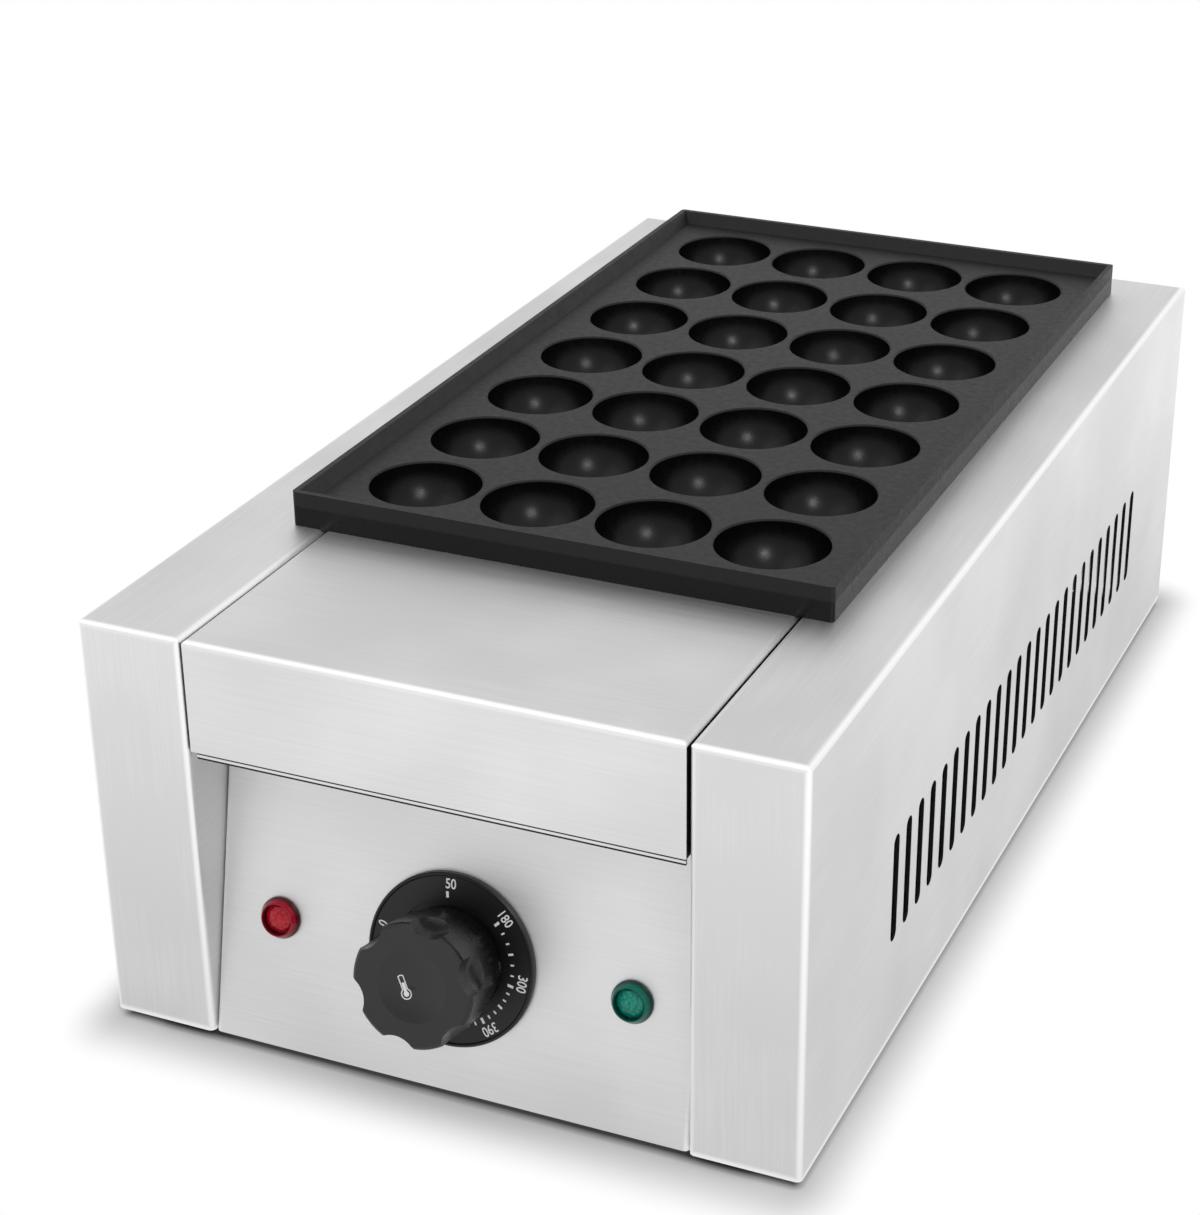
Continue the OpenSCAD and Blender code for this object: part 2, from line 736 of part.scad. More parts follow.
// Round tube along points [y, z] in the plane x = 0
module planar_tube(points, heading, r, sides) {
    n = len(points);
    rings = [for (i = [0 : n - 1], k = [0 : sides - 1])
        let (w = 360 * k / sides)
            [r * cos(w), points[i][0] - heading[i][1] * r * sin(w),
                points[i][1] + heading[i][0] * r * sin(w)]];
    walls = [for (i = [0 : n - 2], k = [0 : sides - 1])
        let (j = (k + 1) % sides)
            [i * sides + k, i * sides + j, (i + 1) * sides + j, (i + 1) * sides + k]];
    caps = [[for (k = [sides - 1 : -1 : 0]) k], [for (k = [0 : sides - 1]) (n - 1) * sides + k]];
    polyhedron(rings, concat(walls, caps), convexity = 6);
}

function bezier(p, u) = pow(1 - u, 3) * p[0] + 3 * pow(1 - u, 2) * u * p[1]
    + 3 * (1 - u) * u * u * p[2] + pow(u, 3) * p[3];
function bezier_run(p, u) = pow(1 - u, 2) * (p[1] - p[0]) + 2 * (1 - u) * u * (p[2] - p[1])
    + u * u * (p[3] - p[2]);
function unit(v) = v / norm(v);

// a point on the panel's middle plane, s up the slope and d behind the face, as [y, z]
function behind_panel(s, d) = [
    panel_toe + s * sin(panel_tilt) + d * cos(panel_tilt),
    s * cos(panel_tilt) - d * sin(panel_tilt)
];
outlet_s = dial_s + thermo_w / 2 + 4;
outlet_d = 18;
capillary_start = behind_panel(outlet_s, outlet_d);
capillary_end = [bulb_y0 - 2, bulb_z];

module capillary_tube() {
    rise = [sin(panel_tilt), cos(panel_tilt)] * 34;
    run = [-24, 0];
    curve = [capillary_start, capillary_start + rise, capillary_end + run, capillary_end];
    steps = 18;
    color([0.72, 0.5, 0.3]) place()
        planar_tube([for (i = [0 : steps]) bezier(curve, i / steps)],
            [for (i = [0 : steps]) unit(bezier_run(curve, i / steps))], capillary_d / 2, 8);
}

// ---- controls ----

module thermostat_body() {
    color([0.15, 0.15, 0.16]) place()
        on_panel(0, dial_s)
            difference() {
                union() {
                    translate([-thermo_w / 2, -thermo_w / 2, -sheet - thermo_d])
                        cube([thermo_w, thermo_w, thermo_d - 2]);
                    translate([-24, -11, -sheet - 2.2]) cube([48, 22, 2.2 - hair]);
                    translate([0, 0, -sheet - 2.2]) cylinder(r = bush_r, h = 2.2 + sheet + 1);
                    translate([0, 0, -sheet - thermo_d - 3]) cylinder(d = 24, h = 4);
                    for (x = [-12, -4, 4, 12])
                        translate([x - 0.4, -14, -sheet - thermo_d - 8]) cube([0.8, 6.3, 9]);
                    translate([0, thermo_w / 2 - 1, -outlet_d]) rotate([-90, 0, 0]) cylinder(d = 5, h = 5);
                }
                translate([0, 0, -16]) cylinder(r = shaft_d / 2 + fit, h = 40);
                for (x = [-1, 1])
                    translate([x * thermo_screw_x, 0, -sheet - 12]) cylinder(d = 4.2, h = 20);
            }
}

module thermostat_screws() {
    color([0.7, 0.7, 0.7]) place()
        for (x = [-1, 1])
            on_panel(x * thermo_screw_x, dial_s)
                translate([0, 0, hair]) rotate([180, 0, 0])
                    pan_screw(screw_m4, 9, thermo_head_d, thermo_head_h);
}

module thermostat_shaft() {
    color([0.75, 0.75, 0.76]) place()
        on_panel(0, dial_s)
            difference() {
                translate([0, 0, -15.6]) cylinder(d = shaft_d, h = 15.6 + knob_reach - 5);
                // flat that drives the knob
                translate([-5, shaft_d / 2 - 1.4, 6]) cube([10, 5, big]);
            }
}

module dial_ring() {
    color([0.12, 0.12, 0.13]) place()
        on_panel(0, dial_s)
            rotate_extrude($fn = round_fn)
                polygon([
                    [dial_in, hair], [dial_d / 2, hair], [dial_d / 2, dial_t - 0.4],
                    [dial_d / 2 - 0.4, dial_t], [dial_d / 2 - 0.9, dial_t],
                    [dial_d / 2 - 1.3, dial_t - 0.5], [dial_well_d / 2, dial_t - 0.5],
                    [dial_well_d / 2, well_t], [dial_in, well_t]
                ]);
}

module control_knob() {
    grip_r = knob_d / 2;
    foot_r = knob_foot_d / 2;
    color([0.09, 0.09, 0.10]) place()
        on_panel(0, dial_s)
            difference() {
                rotate_extrude($fn = round_fn)
                    polygon([
                        [0, knob_base], [foot_r, knob_base], [foot_r + 0.4, dial_t + 2],
                        [grip_r - 0.8, dial_t + 10], [grip_r, knob_reach - 1.4],
                        [grip_r - 0.4, knob_reach - 0.5], [grip_r - 1.2, knob_reach], [0, knob_reach]
                    ]);
                for (i = [0 : scoop_count - 1])
                    rotate([0, 0, scoop_turn + i * 360 / scoop_count])
                        translate([grip_r + scoop_r - scoop_depth, 0, knob_reach - scoop_back]) {
                            cylinder(r = scoop_r, h = 10);
                            sphere(scoop_r);
                        }
                translate([0, 0, knob_reach - knob_dish + dish_r]) sphere(dish_r, $fn = round_fn * 2);
                difference() {
                    translate([0, 0, knob_base - 1])
                        cylinder(r = shaft_d / 2 + fit, h = knob_reach - 4 - knob_base);
                    translate([-5, shaft_d / 2 - 1.4 + fit, 6.5]) cube([10, 5, big]);
                }
            }
}

module lamp_lens() {
    rotate_extrude($fn = round_fn)
        polygon([
            [0, hair], [lamp_d / 2, hair], [lamp_d / 2, 1], [lamp_d / 2 - 0.5, 1.5],
            [lamp_d / 2 - 1, lamp_reach - 1], [lamp_d / 2 - 1.8, lamp_reach], [0, lamp_reach]
        ]);
}

module red_lamp_lens() {
    color([0.75, 0.05, 0.10]) place() on_panel(-lamp_x, dial_s) lamp_lens();
}

module green_lamp_lens() {
    color([0.02, 0.42, 0.36]) place() on_panel(lamp_x, dial_s) lamp_lens();
}

module lamp_bodies() {
    color([0.85, 0.85, 0.83]) place()
        for (x = [-1, 1])
            on_panel(x * lamp_x, dial_s)
                union() {
                    translate([0, 0, -lamp_body_l]) cylinder(d = lamp_hole_d, h = lamp_body_l);
                    for (k = [-1, 1])
                        translate([k * 2.5 - 0.4, -2.4, -lamp_body_l - 7]) cube([0.8, 4.8, 7 + lap]);
                }
}

module lamp_nuts() {
    color([0.85, 0.85, 0.83]) place()
        for (x = [-1, 1])
            on_panel(x * lamp_x, dial_s) translate([0, 0, -sheet - 3 - hair])
                hex_nut(lamp_hole_d + 4, 3, lamp_hole_d + 0.2);
}

// ---- wiring pieces ----

module terminal_block() {
    color([0.93, 0.92, 0.88]) place()
        translate([block_at[0], block_at[1], pan_z + pan_t])
            difference() {
                union() {
                    translate([-block[0] / 2, -block[1] / 2, 0]) cube([block[0], block[1], 8]);
                    for (x = [-1 : 1])
                        translate([x * 20 - 7, -block[1] / 2, 0]) cube([14, block[1], block[2]]);
                }
                for (x = [-1 : 1], y = [-6, 6])
                    translate([x * 20, y, block[2] - 6]) cylinder(d = 5.4, h = 10);
                for (x = [-1 : 1])
                    translate([x * 20, 0, 6]) rotate([90, 0, 0])
                        cylinder(d = 5, h = block[1] + 2, center = true);
            }
}

module terminal_screws() {
    color([0.75, 0.6, 0.3]) place()
        for (x = [-1 : 1], y = [-6, 6])
            translate([block_at[0] + x * 20, block_at[1] + y, pan_z + pan_t + block[2] - 6])
                difference() {
                    cylinder(d = 5.2, h = 4);
                    translate([-3, -0.4, 3]) cube([6, 0.8, 2]);
                }
}

module earth_stud() {
    color([0.75, 0.6, 0.3]) place()
        translate([earth_at[0], earth_at[1], pan_z])
            union() {
                cylinder(d = earth_d, h = 16);
                translate([0, 0, -1.6]) cylinder(d = 9, h = 1.6);
            }
}

module earth_nut() {
    color([0.75, 0.6, 0.3]) place()
        translate([earth_at[0], earth_at[1], pan_z + pan_t]) hex_nut(8, 4, earth_d + 0.2);
}

module gland_at(y) {
    translate([-gland_x, y, gland_z]) rotate([-90, 0, 0]) children();
}

module cable_gland() {
    color([0.13, 0.13, 0.14]) place()
        gland_at(body_l + rear_t)
            difference() {
                union() {
                    cylinder(d = (gland_d + 6) / cos(30), h = gland_flange, $fn = 6);
                    translate([0, 0, -12]) cylinder(d = gland_d, h = 13);
                    translate([0, 0, gland_flange - 1]) cylinder(d = gland_d - 2, h = 8);
                }
                translate([0, 0, -20]) cylinder(d = gland_bore, h = 60);
            }
}

module gland_cap() {
    outer = gland_d + 5;
    color([0.13, 0.13, 0.14]) place()
        gland_at(body_l + rear_t + gland_flange)
            difference() {
                union() {
                    cylinder(d = outer / cos(30), h = 8, $fn = 6);
                    translate([0, 0, 8 - lap])
                        rotate_extrude($fn = round_fn)
                            polygon([[0, 0], [outer / 2, 0], [outer / 2, 1.5],
                                [gland_bore / 2 + 2, gland_cap_l - 8 + lap], [0, gland_cap_l - 8 + lap]]);
                }
                translate([0, 0, -1]) cylinder(d = gland_d - 2 + fit * 2, h = 9);
                cylinder(d = gland_bore, h = 60);
            }
}

module gland_nut() {
    color([0.13, 0.13, 0.14]) place()
        gland_at(body_l - gland_nut_h) hex_nut(gland_d + 6, gland_nut_h, gland_d + 0.2);
}

// ---- feet and screws ----

module feet() {
    color([0.08, 0.08, 0.08]) place()
        feet_at()
            translate([0, 0, -foot_gap])
                difference() {
                    cylinder(d1 = foot_d - 2, d2 = foot_d, h = foot_h);
                    translate([0, 0, -1]) cylinder(d = screw_head_d + 0.8, h = 1 + foot_h - foot_web);
                    translate([0, 0, -1]) cylinder(d = screw_hole, h = foot_h + 2);
                }
}

module foot_screws() {
    color([0.7, 0.7, 0.7]) place()
        feet_at()
            translate([0, 0, pan_z - foot_web]) pan_screw(screw_m4, foot_web + pan_t + 5, screw_head_d, 1.8);
}

module foot_nuts() {
    color([0.7, 0.7, 0.7]) place()
        feet_at() translate([0, 0, pan_z + pan_t]) hex_nut(foot_nut_af, 3.2, screw_m4 + 0.2);
}

module base_screws() {
    color([0.7, 0.7, 0.7]) place()
        for (p = base_points)
            translate([p[0], p[1], 0]) pan_screw(screw_m3, sheet + pan_t + 4, 7, 2);
}

module cover_screws() {
    color([0.7, 0.7, 0.7]) place()
        for (x = [-1, 1], y = cover_screw_y)
            translate([x * (cover_half - sheet), y, cover_screw_z]) rotate([0, x * 90, 0])
                pan_screw(screw_m3, 2 * sheet + cover_gap + 3, cover_head_d, 1.8);
}

module rear_screws() {
    color([0.7, 0.7, 0.7]) place() {
        for (x = [-1, 1], z = rear_screw_z)
            translate([x * rear_screw_x, body_l + rear_t, z]) rotate([90, 0, 0])
                pan_screw(screw_m4, 8, screw_head_d, screw_head_h);
        for (x = [-1, 1])
            translate([x * deck_screw_x, body_l + rear_t, body_h - deck_screw_drop]) rotate([90, 0, 0])
                pan_screw(screw_m4, 8, screw_head_d, screw_head_h);
    }
}

base_pan();
left_wing();
right_wing();
top_cover();
rear_deck();
control_panel();
rear_panel();
baking_plate();
plate_studs();
plate_nuts();
heating_elements();
element_terminals();
clamp_bars();
clamp_screws();
heat_shield();
shield_screws();
sensor_bulb();
bulb_clip();
capillary_tube();
thermostat_body();
thermostat_screws();
thermostat_shaft();
dial_ring();
control_knob();
red_lamp_lens();
green_lamp_lens();
lamp_bodies();
lamp_nuts();
terminal_block();
terminal_screws();
earth_stud();
earth_nut();
cable_gland();
gland_cap();
gland_nut();
feet();
foot_screws();
foot_nuts();
base_screws();
cover_screws();
rear_screws();
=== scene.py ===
# Dresses the takoyaki maker's frame: brushed steel, coated cast plate, printed dial, jewel lamps
# and a plain white studio. Metres throughout; the front faces -Y.
import json
import math

import bpy
from mathutils import Matrix, Vector


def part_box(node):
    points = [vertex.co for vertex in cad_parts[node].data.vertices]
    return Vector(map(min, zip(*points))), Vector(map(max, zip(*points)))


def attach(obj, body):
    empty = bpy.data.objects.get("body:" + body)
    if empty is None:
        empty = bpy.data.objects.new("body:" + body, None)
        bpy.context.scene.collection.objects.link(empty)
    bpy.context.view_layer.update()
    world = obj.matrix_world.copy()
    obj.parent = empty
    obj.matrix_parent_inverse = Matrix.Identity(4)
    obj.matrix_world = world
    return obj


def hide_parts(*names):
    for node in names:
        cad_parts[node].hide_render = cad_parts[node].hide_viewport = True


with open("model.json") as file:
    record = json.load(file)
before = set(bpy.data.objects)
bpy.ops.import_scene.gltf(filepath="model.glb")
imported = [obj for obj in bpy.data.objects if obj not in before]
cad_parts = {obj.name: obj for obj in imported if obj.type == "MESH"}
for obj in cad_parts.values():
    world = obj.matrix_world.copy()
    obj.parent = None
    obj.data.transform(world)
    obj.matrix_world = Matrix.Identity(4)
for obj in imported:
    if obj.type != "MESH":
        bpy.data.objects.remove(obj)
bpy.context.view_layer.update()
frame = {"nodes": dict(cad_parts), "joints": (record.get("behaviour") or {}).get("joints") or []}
scene = bpy.context.scene
nodes = frame["nodes"]
mm = 0.001
anywhere = (-1, 1)  # metres, past the machine on both sides
print("frame loaded:", len(nodes), "nodes")


def toLinear(hexColour):  # sRGB hex to the linear colour that the shaders take
    values = [int(hexColour[i:i + 2], 16) / 255 for i in (0, 2, 4)]
    return [v / 12.92 if v <= 0.04045 else ((v + 0.055) / 1.055) ** 2.4 for v in values] + [1]


def addNode(tree, kind, inputs=None, **settings):
    # inputs hold values, or the sockets to link from, by name or number. A Mix node's share is
    # input 0; numbers go in at 2 and 3 and out at 0, colours go in at 6 and 7 and out at 2.
    node = tree.nodes.new(kind)
    for name, value in settings.items():
        setattr(node, name, value)
    for name, value in (inputs or {}).items():
        if isinstance(value, bpy.types.NodeSocket):
            tree.links.new(value, node.inputs[name])
        else:
            node.inputs[name].default_value = value
    return node


def newMaterial(name):
    material = bpy.data.materials.new(name)
    material.use_nodes = True
    material.node_tree.nodes.clear()
    return material, material.node_tree


noiseRagged = 0.55  # how strongly the finer waves of a noise show
noiseSpan = {"From Min": 0.3, "From Max": 0.7}  # nearly all of its values lie between these


def speckle(tree, gaps, detail):  # noise on the object's own coordinates, with a gap for each axis
    where = addNode(tree, "ShaderNodeTexCoord")
    mapped = addNode(tree, "ShaderNodeMapping", {"Vector": where.outputs["Object"],
                                                 "Scale": [1 / gap for gap in gaps]})
    made = addNode(tree, "ShaderNodeTexNoise", {"Vector": mapped.outputs[0], "Scale": 1.0,
                                                "Detail": detail, "Roughness": noiseRagged})
    return made.outputs["Fac"]


def dress(material, *names):
    for name in names:
        nodes[name].data.materials.clear()
        nodes[name].data.materials.append(material)


# Frame of the inclined panel: x across, y up the slope, z out of the face, from the dial's centre
knobJoint = frame["joints"][0]
panelOut = -Vector(knobJoint["axis"])
panelUp = Vector((0, panelOut.z, -panelOut.y))
dialCentre = Vector(knobJoint["pos_m"])
onPanel = Matrix.Translation(dialCentre) @ Matrix((
    (1, panelUp.x, panelOut.x), (0, panelUp.y, panelOut.y), (0, panelUp.z, panelOut.z))).to_4x4()

# Belt-brushed stainless sheet. The grit lines are 0.1 to 0.2 mm apart; drawn at 0.8 mm to show.
steelSettings = {
    "colour": "E4E4E4", "shade": "D9D9DA", "rough": (0.47, 0.52),
    "lineGap": 0.8 * mm, "lineLength": 38 * mm, "lineDetail": 3.0, "lineShare": 0.5,
    "cloud": 70 * mm, "cloudDetail": 2.0, "toneFrom": (0.6, 0.95),
    # the fold colour is a painted highlight along the folds
    "fold": "FFFFFF", "foldRough": 0.46, "foldIn": (0.5 * mm, 2.4 * mm),
    # the mill colour is dark painted shade, over the unbrushed rolled finish
    "millAndShade": "2E2F31", "millRough": 0.6, "relief": 0.02, "reliefDeep": 0.02 * mm,
}


def streaks(tree, settings, across):  # fine lines, closely spaced along the axes in across
    gaps = [settings["lineGap" if axis in across else "lineLength"] for axis in "XYZ"]
    return speckle(tree, gaps, settings["lineDetail"])


def sheetGrain(tree, settings, sheet):  # the faces that look forwards can have a grain of their own
    lines = streaks(tree, settings, sheet["grain"])
    if "frontGrain" in sheet:
        facing = addNode(tree, "ShaderNodeNewGeometry")
        parts = addNode(tree, "ShaderNodeSeparateXYZ", {0: facing.outputs["Normal"]})
        forwards = addNode(tree, "ShaderNodeMath", {0: parts.outputs["Y"]}, operation="ABSOLUTE")
        front = streaks(tree, settings, sheet["frontGrain"])
        lines = addNode(tree, "ShaderNodeMix", {0: forwards.outputs[0], 2: lines, 3: front}).outputs[0]
    return lines


def pastBox(tree, low, high):  # how far outside a box, mirrored in x = 0, along each axis
    where = addNode(tree, "ShaderNodeTexCoord")
    apart = addNode(tree, "ShaderNodeSeparateXYZ", {0: where.outputs["Object"]})
    across = addNode(tree, "ShaderNodeMath", {0: apart.outputs["X"]}, operation="ABSOLUTE")
    place = addNode(tree, "ShaderNodeCombineXYZ", {0: across.outputs[0], 1: apart.outputs["Y"],
                                                   2: apart.outputs["Z"]})
    away = addNode(tree, "ShaderNodeVectorMath", {0: place.outputs[0], 1: (low + high) / 2},
                   operation="SUBTRACT")
    away = addNode(tree, "ShaderNodeVectorMath", {0: away.outputs[0]}, operation="ABSOLUTE")
    away = addNode(tree, "ShaderNodeVectorMath", {0: away.outputs[0], 1: (high - low) / 2},
                   operation="SUBTRACT")
    return addNode(tree, "ShaderNodeSeparateXYZ", {0: away.outputs[0]}).outputs


def insideBox(tree, low, high):  # 1 inside the box, 0 outside
    over = pastBox(tree, low, high)
    most = addNode(tree, "ShaderNodeMath", {0: over[0], 1: over[1]}, operation="MAXIMUM")
    most = addNode(tree, "ShaderNodeMath", {0: most.outputs[0], 1: over[2]}, operation="MAXIMUM")
    return addNode(tree, "ShaderNodeMath", {0: most.outputs[0], 1: 0.0}, operation="LESS_THAN").outputs[0]


def alongFolds(tree, sheet, foldIn):  # 1 on the folds along a box's edges, fading into the faces
    over = pastBox(tree, *sheet["box"])
    near = -1.0
    for first, second in sheet["folds"]:
        both = addNode(tree, "ShaderNodeMath", {0: over[first], 1: over[second]}, operation="MINIMUM")
        near = addNode(tree, "ShaderNodeMath", {0: both.outputs[0], 1: near}, operation="MAXIMUM").outputs[0]
    return addNode(tree, "ShaderNodeMapRange", {
        "Value": near, "From Min": -foldIn[1], "From Max": -foldIn[0]},
        interpolation_type="SMOOTHSTEP").outputs[0]


def brushedSteel(name, settings, sheet):
    # stainless, brushed one way: soft streaked gloss, painted brighter along the folds as a highlight;
    # faces in the shade boxes are painted dark as shade, over their unbrushed rolled finish
    material, tree = newMaterial(name)
    lines = sheetGrain(tree, settings, sheet)
    cloud = speckle(tree, [settings["cloud"]] * 3, settings["cloudDetail"])
    both = addNode(tree, "ShaderNodeMath", {0: lines, 1: settings["lineShare"], 2: cloud},
                   operation="MULTIPLY_ADD")
    tone = addNode(tree, "ShaderNodeMapRange", {
        "Value": both.outputs[0], "From Min": settings["toneFrom"][0],
        "From Max": settings["toneFrom"][1]})
    brushed = addNode(tree, "ShaderNodeMix", {0: tone.outputs[0], 6: toLinear(settings["shade"]),
                                              7: toLinear(settings["colour"])}, data_type="RGBA")
    # painted highlight: towards the folds the colour goes near white
    fold = alongFolds(tree, sheet, settings["foldIn"])
    colour = addNode(tree, "ShaderNodeMix", {0: fold, 6: brushed.outputs[2],
                                             7: toLinear(settings["fold"])}, data_type="RGBA")
    sheetRough = addNode(tree, "ShaderNodeMapRange", {
        "Value": lines, **noiseSpan, "To Min": settings["rough"][0], "To Max": settings["rough"][1]})
    rough = addNode(tree, "ShaderNodeMix", {0: fold, 2: sheetRough.outputs[0],
                                            3: settings["foldRough"]})
    # painted shade: inside these boxes the colour goes dark
    for low, high in sheet["paintedShade"]:
        paintedShade = insideBox(tree, low, high)
        colour = addNode(tree, "ShaderNodeMix", {0: paintedShade, 6: colour.outputs[2],
                                                 7: toLinear(settings["millAndShade"])}, data_type="RGBA")
        rough = addNode(tree, "ShaderNodeMix", {0: paintedShade, 2: rough.outputs[0],
                                                3: settings["millRough"]})
    relief = addNode(tree, "ShaderNodeBump", {"Height": lines, "Strength": settings["relief"],
                                              "Distance": settings["reliefDeep"]})
    steel = addNode(tree, "ShaderNodeBsdfPrincipled", {
        "Base Color": colour.outputs[2], "Metallic": 1.0, "Roughness": rough.outputs[0],
        "Normal": relief.outputs[0]})
    # painted highlight on the panel's folded edge: less metal, so its near-white colour shows in diffuse
    # light
    if "foldMetal" in sheet:
        metal = addNode(tree, "ShaderNodeMapRange", {"Value": fold, "To Min": 1.0,
                                                     "To Max": sheet["foldMetal"]})
        tree.links.new(metal.outputs[0], steel.inputs["Metallic"])
    addNode(tree, "ShaderNodeOutputMaterial", {"Surface": steel.outputs[0]})
    return material


# Where the sheets are painted dark as shade, over their unbrushed rolled finish. The wing: past the
# skin of its outside, on the cut edges of its vents, and on the side that faces the cover. The cover:
# on the edges of its hem, painted as shadow lines, and on the side that faces the wing. The panel: in
# the hole under the dial. ventEdges and hemBack are depths behind the outer faces.
paintedShadeSettings = {
    "skin": 0.96 * mm, "rearFold": 7.5 * mm,
    "ventEnds": (60 * mm, 45 * mm), "ventHeights": (36 * mm, 86 * mm), "ventEdges": (1.5 * mm, 0.03 * mm),
    "jointSide": 0.05 * mm, "jointFoot": 4 * mm, "wingJointTop": 1.6 * mm, "coverJointTop": 0.4 * mm,
    "hemShadowLines": [(-0.1 * mm, 0.6 * mm), (1.5 * mm, 3.6 * mm)], "hemBack": (1.5 * mm, 4 * mm),
    "underDial": 17 * mm,
}
wingLow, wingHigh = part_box("right_wing")
coverLow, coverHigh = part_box("top_cover")


def boxOver(*reaches):  # a box's two corners, from where it starts and ends along x, y and z
    return [Vector(corner) for corner in zip(*reaches)]


def around(middle, reach):
    return middle - reach, middle + reach


def mirroredBox(node):  # a node's box with its middle plane moved away, for shapes that cross x = 0
    low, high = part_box(node)
    return Vector((anywhere[0], low.y, low.z)), high


def wingPaintedShade(settings):
    skin = Vector([settings["skin"]] * 3)
    rearFold = Vector((0, settings["rearFold"], 0))
    vents = boxOver(
        (wingHigh.x - settings["ventEdges"][0], wingHigh.x - settings["ventEdges"][1]),
        (wingLow.y + settings["ventEnds"][0], wingHigh.y - settings["ventEnds"][1]),
        settings["ventHeights"])
    joint = boxOver(around(wingLow.x, settings["jointSide"]), anywhere,
                    (coverLow.z + settings["jointFoot"], wingHigh.z - settings["wingJointTop"]))
    return [(wingLow + skin, wingHigh - skin - rearFold), vents, joint]


def coverPaintedShade(settings):
    hemBack = [coverLow.y + back for back in settings["hemBack"]]
    hem = [boxOver(anywhere, hemBack, (coverLow.z + start, coverLow.z + end))
           for start, end in settings["hemShadowLines"]]
    joint = boxOver(around(coverHigh.x, settings["jointSide"]), anywhere,
                    (coverLow.z, coverHigh.z - settings["coverJointTop"]))
    return hem + [joint]


def panelPaintedShade(settings):
    return [boxOver((anywhere[0], settings["underDial"]), anywhere,
                    around(dialCentre.z, settings["underDial"]))]


# For each sheet: the axes across its grain (and across the grain of its faces that look forwards),
# its box, the pairs of axes whose faces meet in a folded edge, and its boxes of painted shade. The
# panel's folded edge is its whole side, made less of a mirror so that it shows a pale painted highlight.
sheetSettings = {
    "left_wing": {"grain": "XZ", "frontGrain": "X", "box": (wingLow, wingHigh),
                  "folds": [(0, 1), (1, 2), (0, 2)], "paintedShade": wingPaintedShade(paintedShadeSettings)},
    "top_cover": {"grain": "YZ", "box": mirroredBox("top_cover"), "folds": [(1, 2)],
                  "paintedShade": coverPaintedShade(paintedShadeSettings)},
    "control_panel": {"grain": "YZ", "box": mirroredBox("control_panel"), "folds": [(0, 0)],
                      "foldMetal": 0.3, "paintedShade": panelPaintedShade(paintedShadeSettings)},
    "rear_deck": {"grain": "YZ", "box": mirroredBox("rear_deck"), "folds": [(1, 2)], "paintedShade": []},
    "rear_panel": {"grain": "YZ", "box": mirroredBox("rear_panel"), "folds": [], "paintedShade": []},
}
for node, sheet in sheetSettings.items():
    dress(brushedSteel("BrushedStainless_" + node, steelSettings, sheet), node)
dress(nodes["left_wing"].data.materials[0], "right_wing")
print("steel done")


# Cast aluminium under sprayed non-stick. The tray keeps the casting's 0.5 mm pebbling, and the cups
# are turned smooth before coating.
plateSettings = {
    # the cup colour is darker than the tray's, as painted shade in the hollows
    "tray": "1D1D1E", "cup": "050505", "trayRough": (0.40, 0.52), "cupRough": (0.24, 0.32),
    "trayDrop": 4.5 * mm, "cupEdge": (0.9 * mm, 0.2 * mm), "fleck": 2.5 * mm, "fleckDetail": 3.0,
    "pebble": 0.5 * mm, "pebbleDetail": 2.0, "relief": 0.3, "reliefDeep": 0.05 * mm,
    "ior": 1.35, "specular": 0.42,
}


def coatedPlate(settings):
    # black non-stick: satin tray, glossier cups with a sparkling highlight; the cups are coloured darker
    # than the tray as painted shade in the hollows
    material, tree = newMaterial("NonStickCoatedAluminium")
    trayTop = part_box("baking_plate")[1].z - settings["trayDrop"]
    where = addNode(tree, "ShaderNodeTexCoord")
    place = addNode(tree, "ShaderNodeSeparateXYZ", {0: where.outputs["Object"]})
    inCup = addNode(tree, "ShaderNodeMapRange", {
        "Value": place.outputs["Z"], "From Min": trayTop - settings["cupEdge"][0],
        "From Max": trayTop - settings["cupEdge"][1], "To Min": 1.0, "To Max": 0.0})
    # painted shade: inside the cups the colour goes darker than the tray's
    colour = addNode(tree, "ShaderNodeMix", {0: inCup.outputs[0], 6: toLinear(settings["tray"]),
                                             7: toLinear(settings["cup"])}, data_type="RGBA")
    fleck = speckle(tree, [settings["fleck"]] * 3, settings["fleckDetail"])
    trayRough, cupRough = [
        addNode(tree, "ShaderNodeMapRange", {"Value": fleck, **noiseSpan, "To Min": low, "To Max": high})
        for low, high in (settings["trayRough"], settings["cupRough"])]
    rough = addNode(tree, "ShaderNodeMix", {0: inCup.outputs[0], 2: trayRough.outputs[0],
                                            3: cupRough.outputs[0]})
    pebble = speckle(tree, [settings["pebble"]] * 3, settings["pebbleDetail"])
    relief = addNode(tree, "ShaderNodeBump", {"Height": pebble, "Strength": settings["relief"],
                                              "Distance": settings["reliefDeep"]})
    coat = addNode(tree, "ShaderNodeBsdfPrincipled", {
        "Base Color": colour.outputs[2], "Roughness": rough.outputs[0], "IOR": settings["ior"],
        "Specular IOR Level": settings["specular"], "Normal": relief.outputs[0]})
    addNode(tree, "ShaderNodeOutputMaterial", {"Surface": coat.outputs[0]})
    return material


dress(coatedPlate(plateSettings), "baking_plate")
print("plate done")


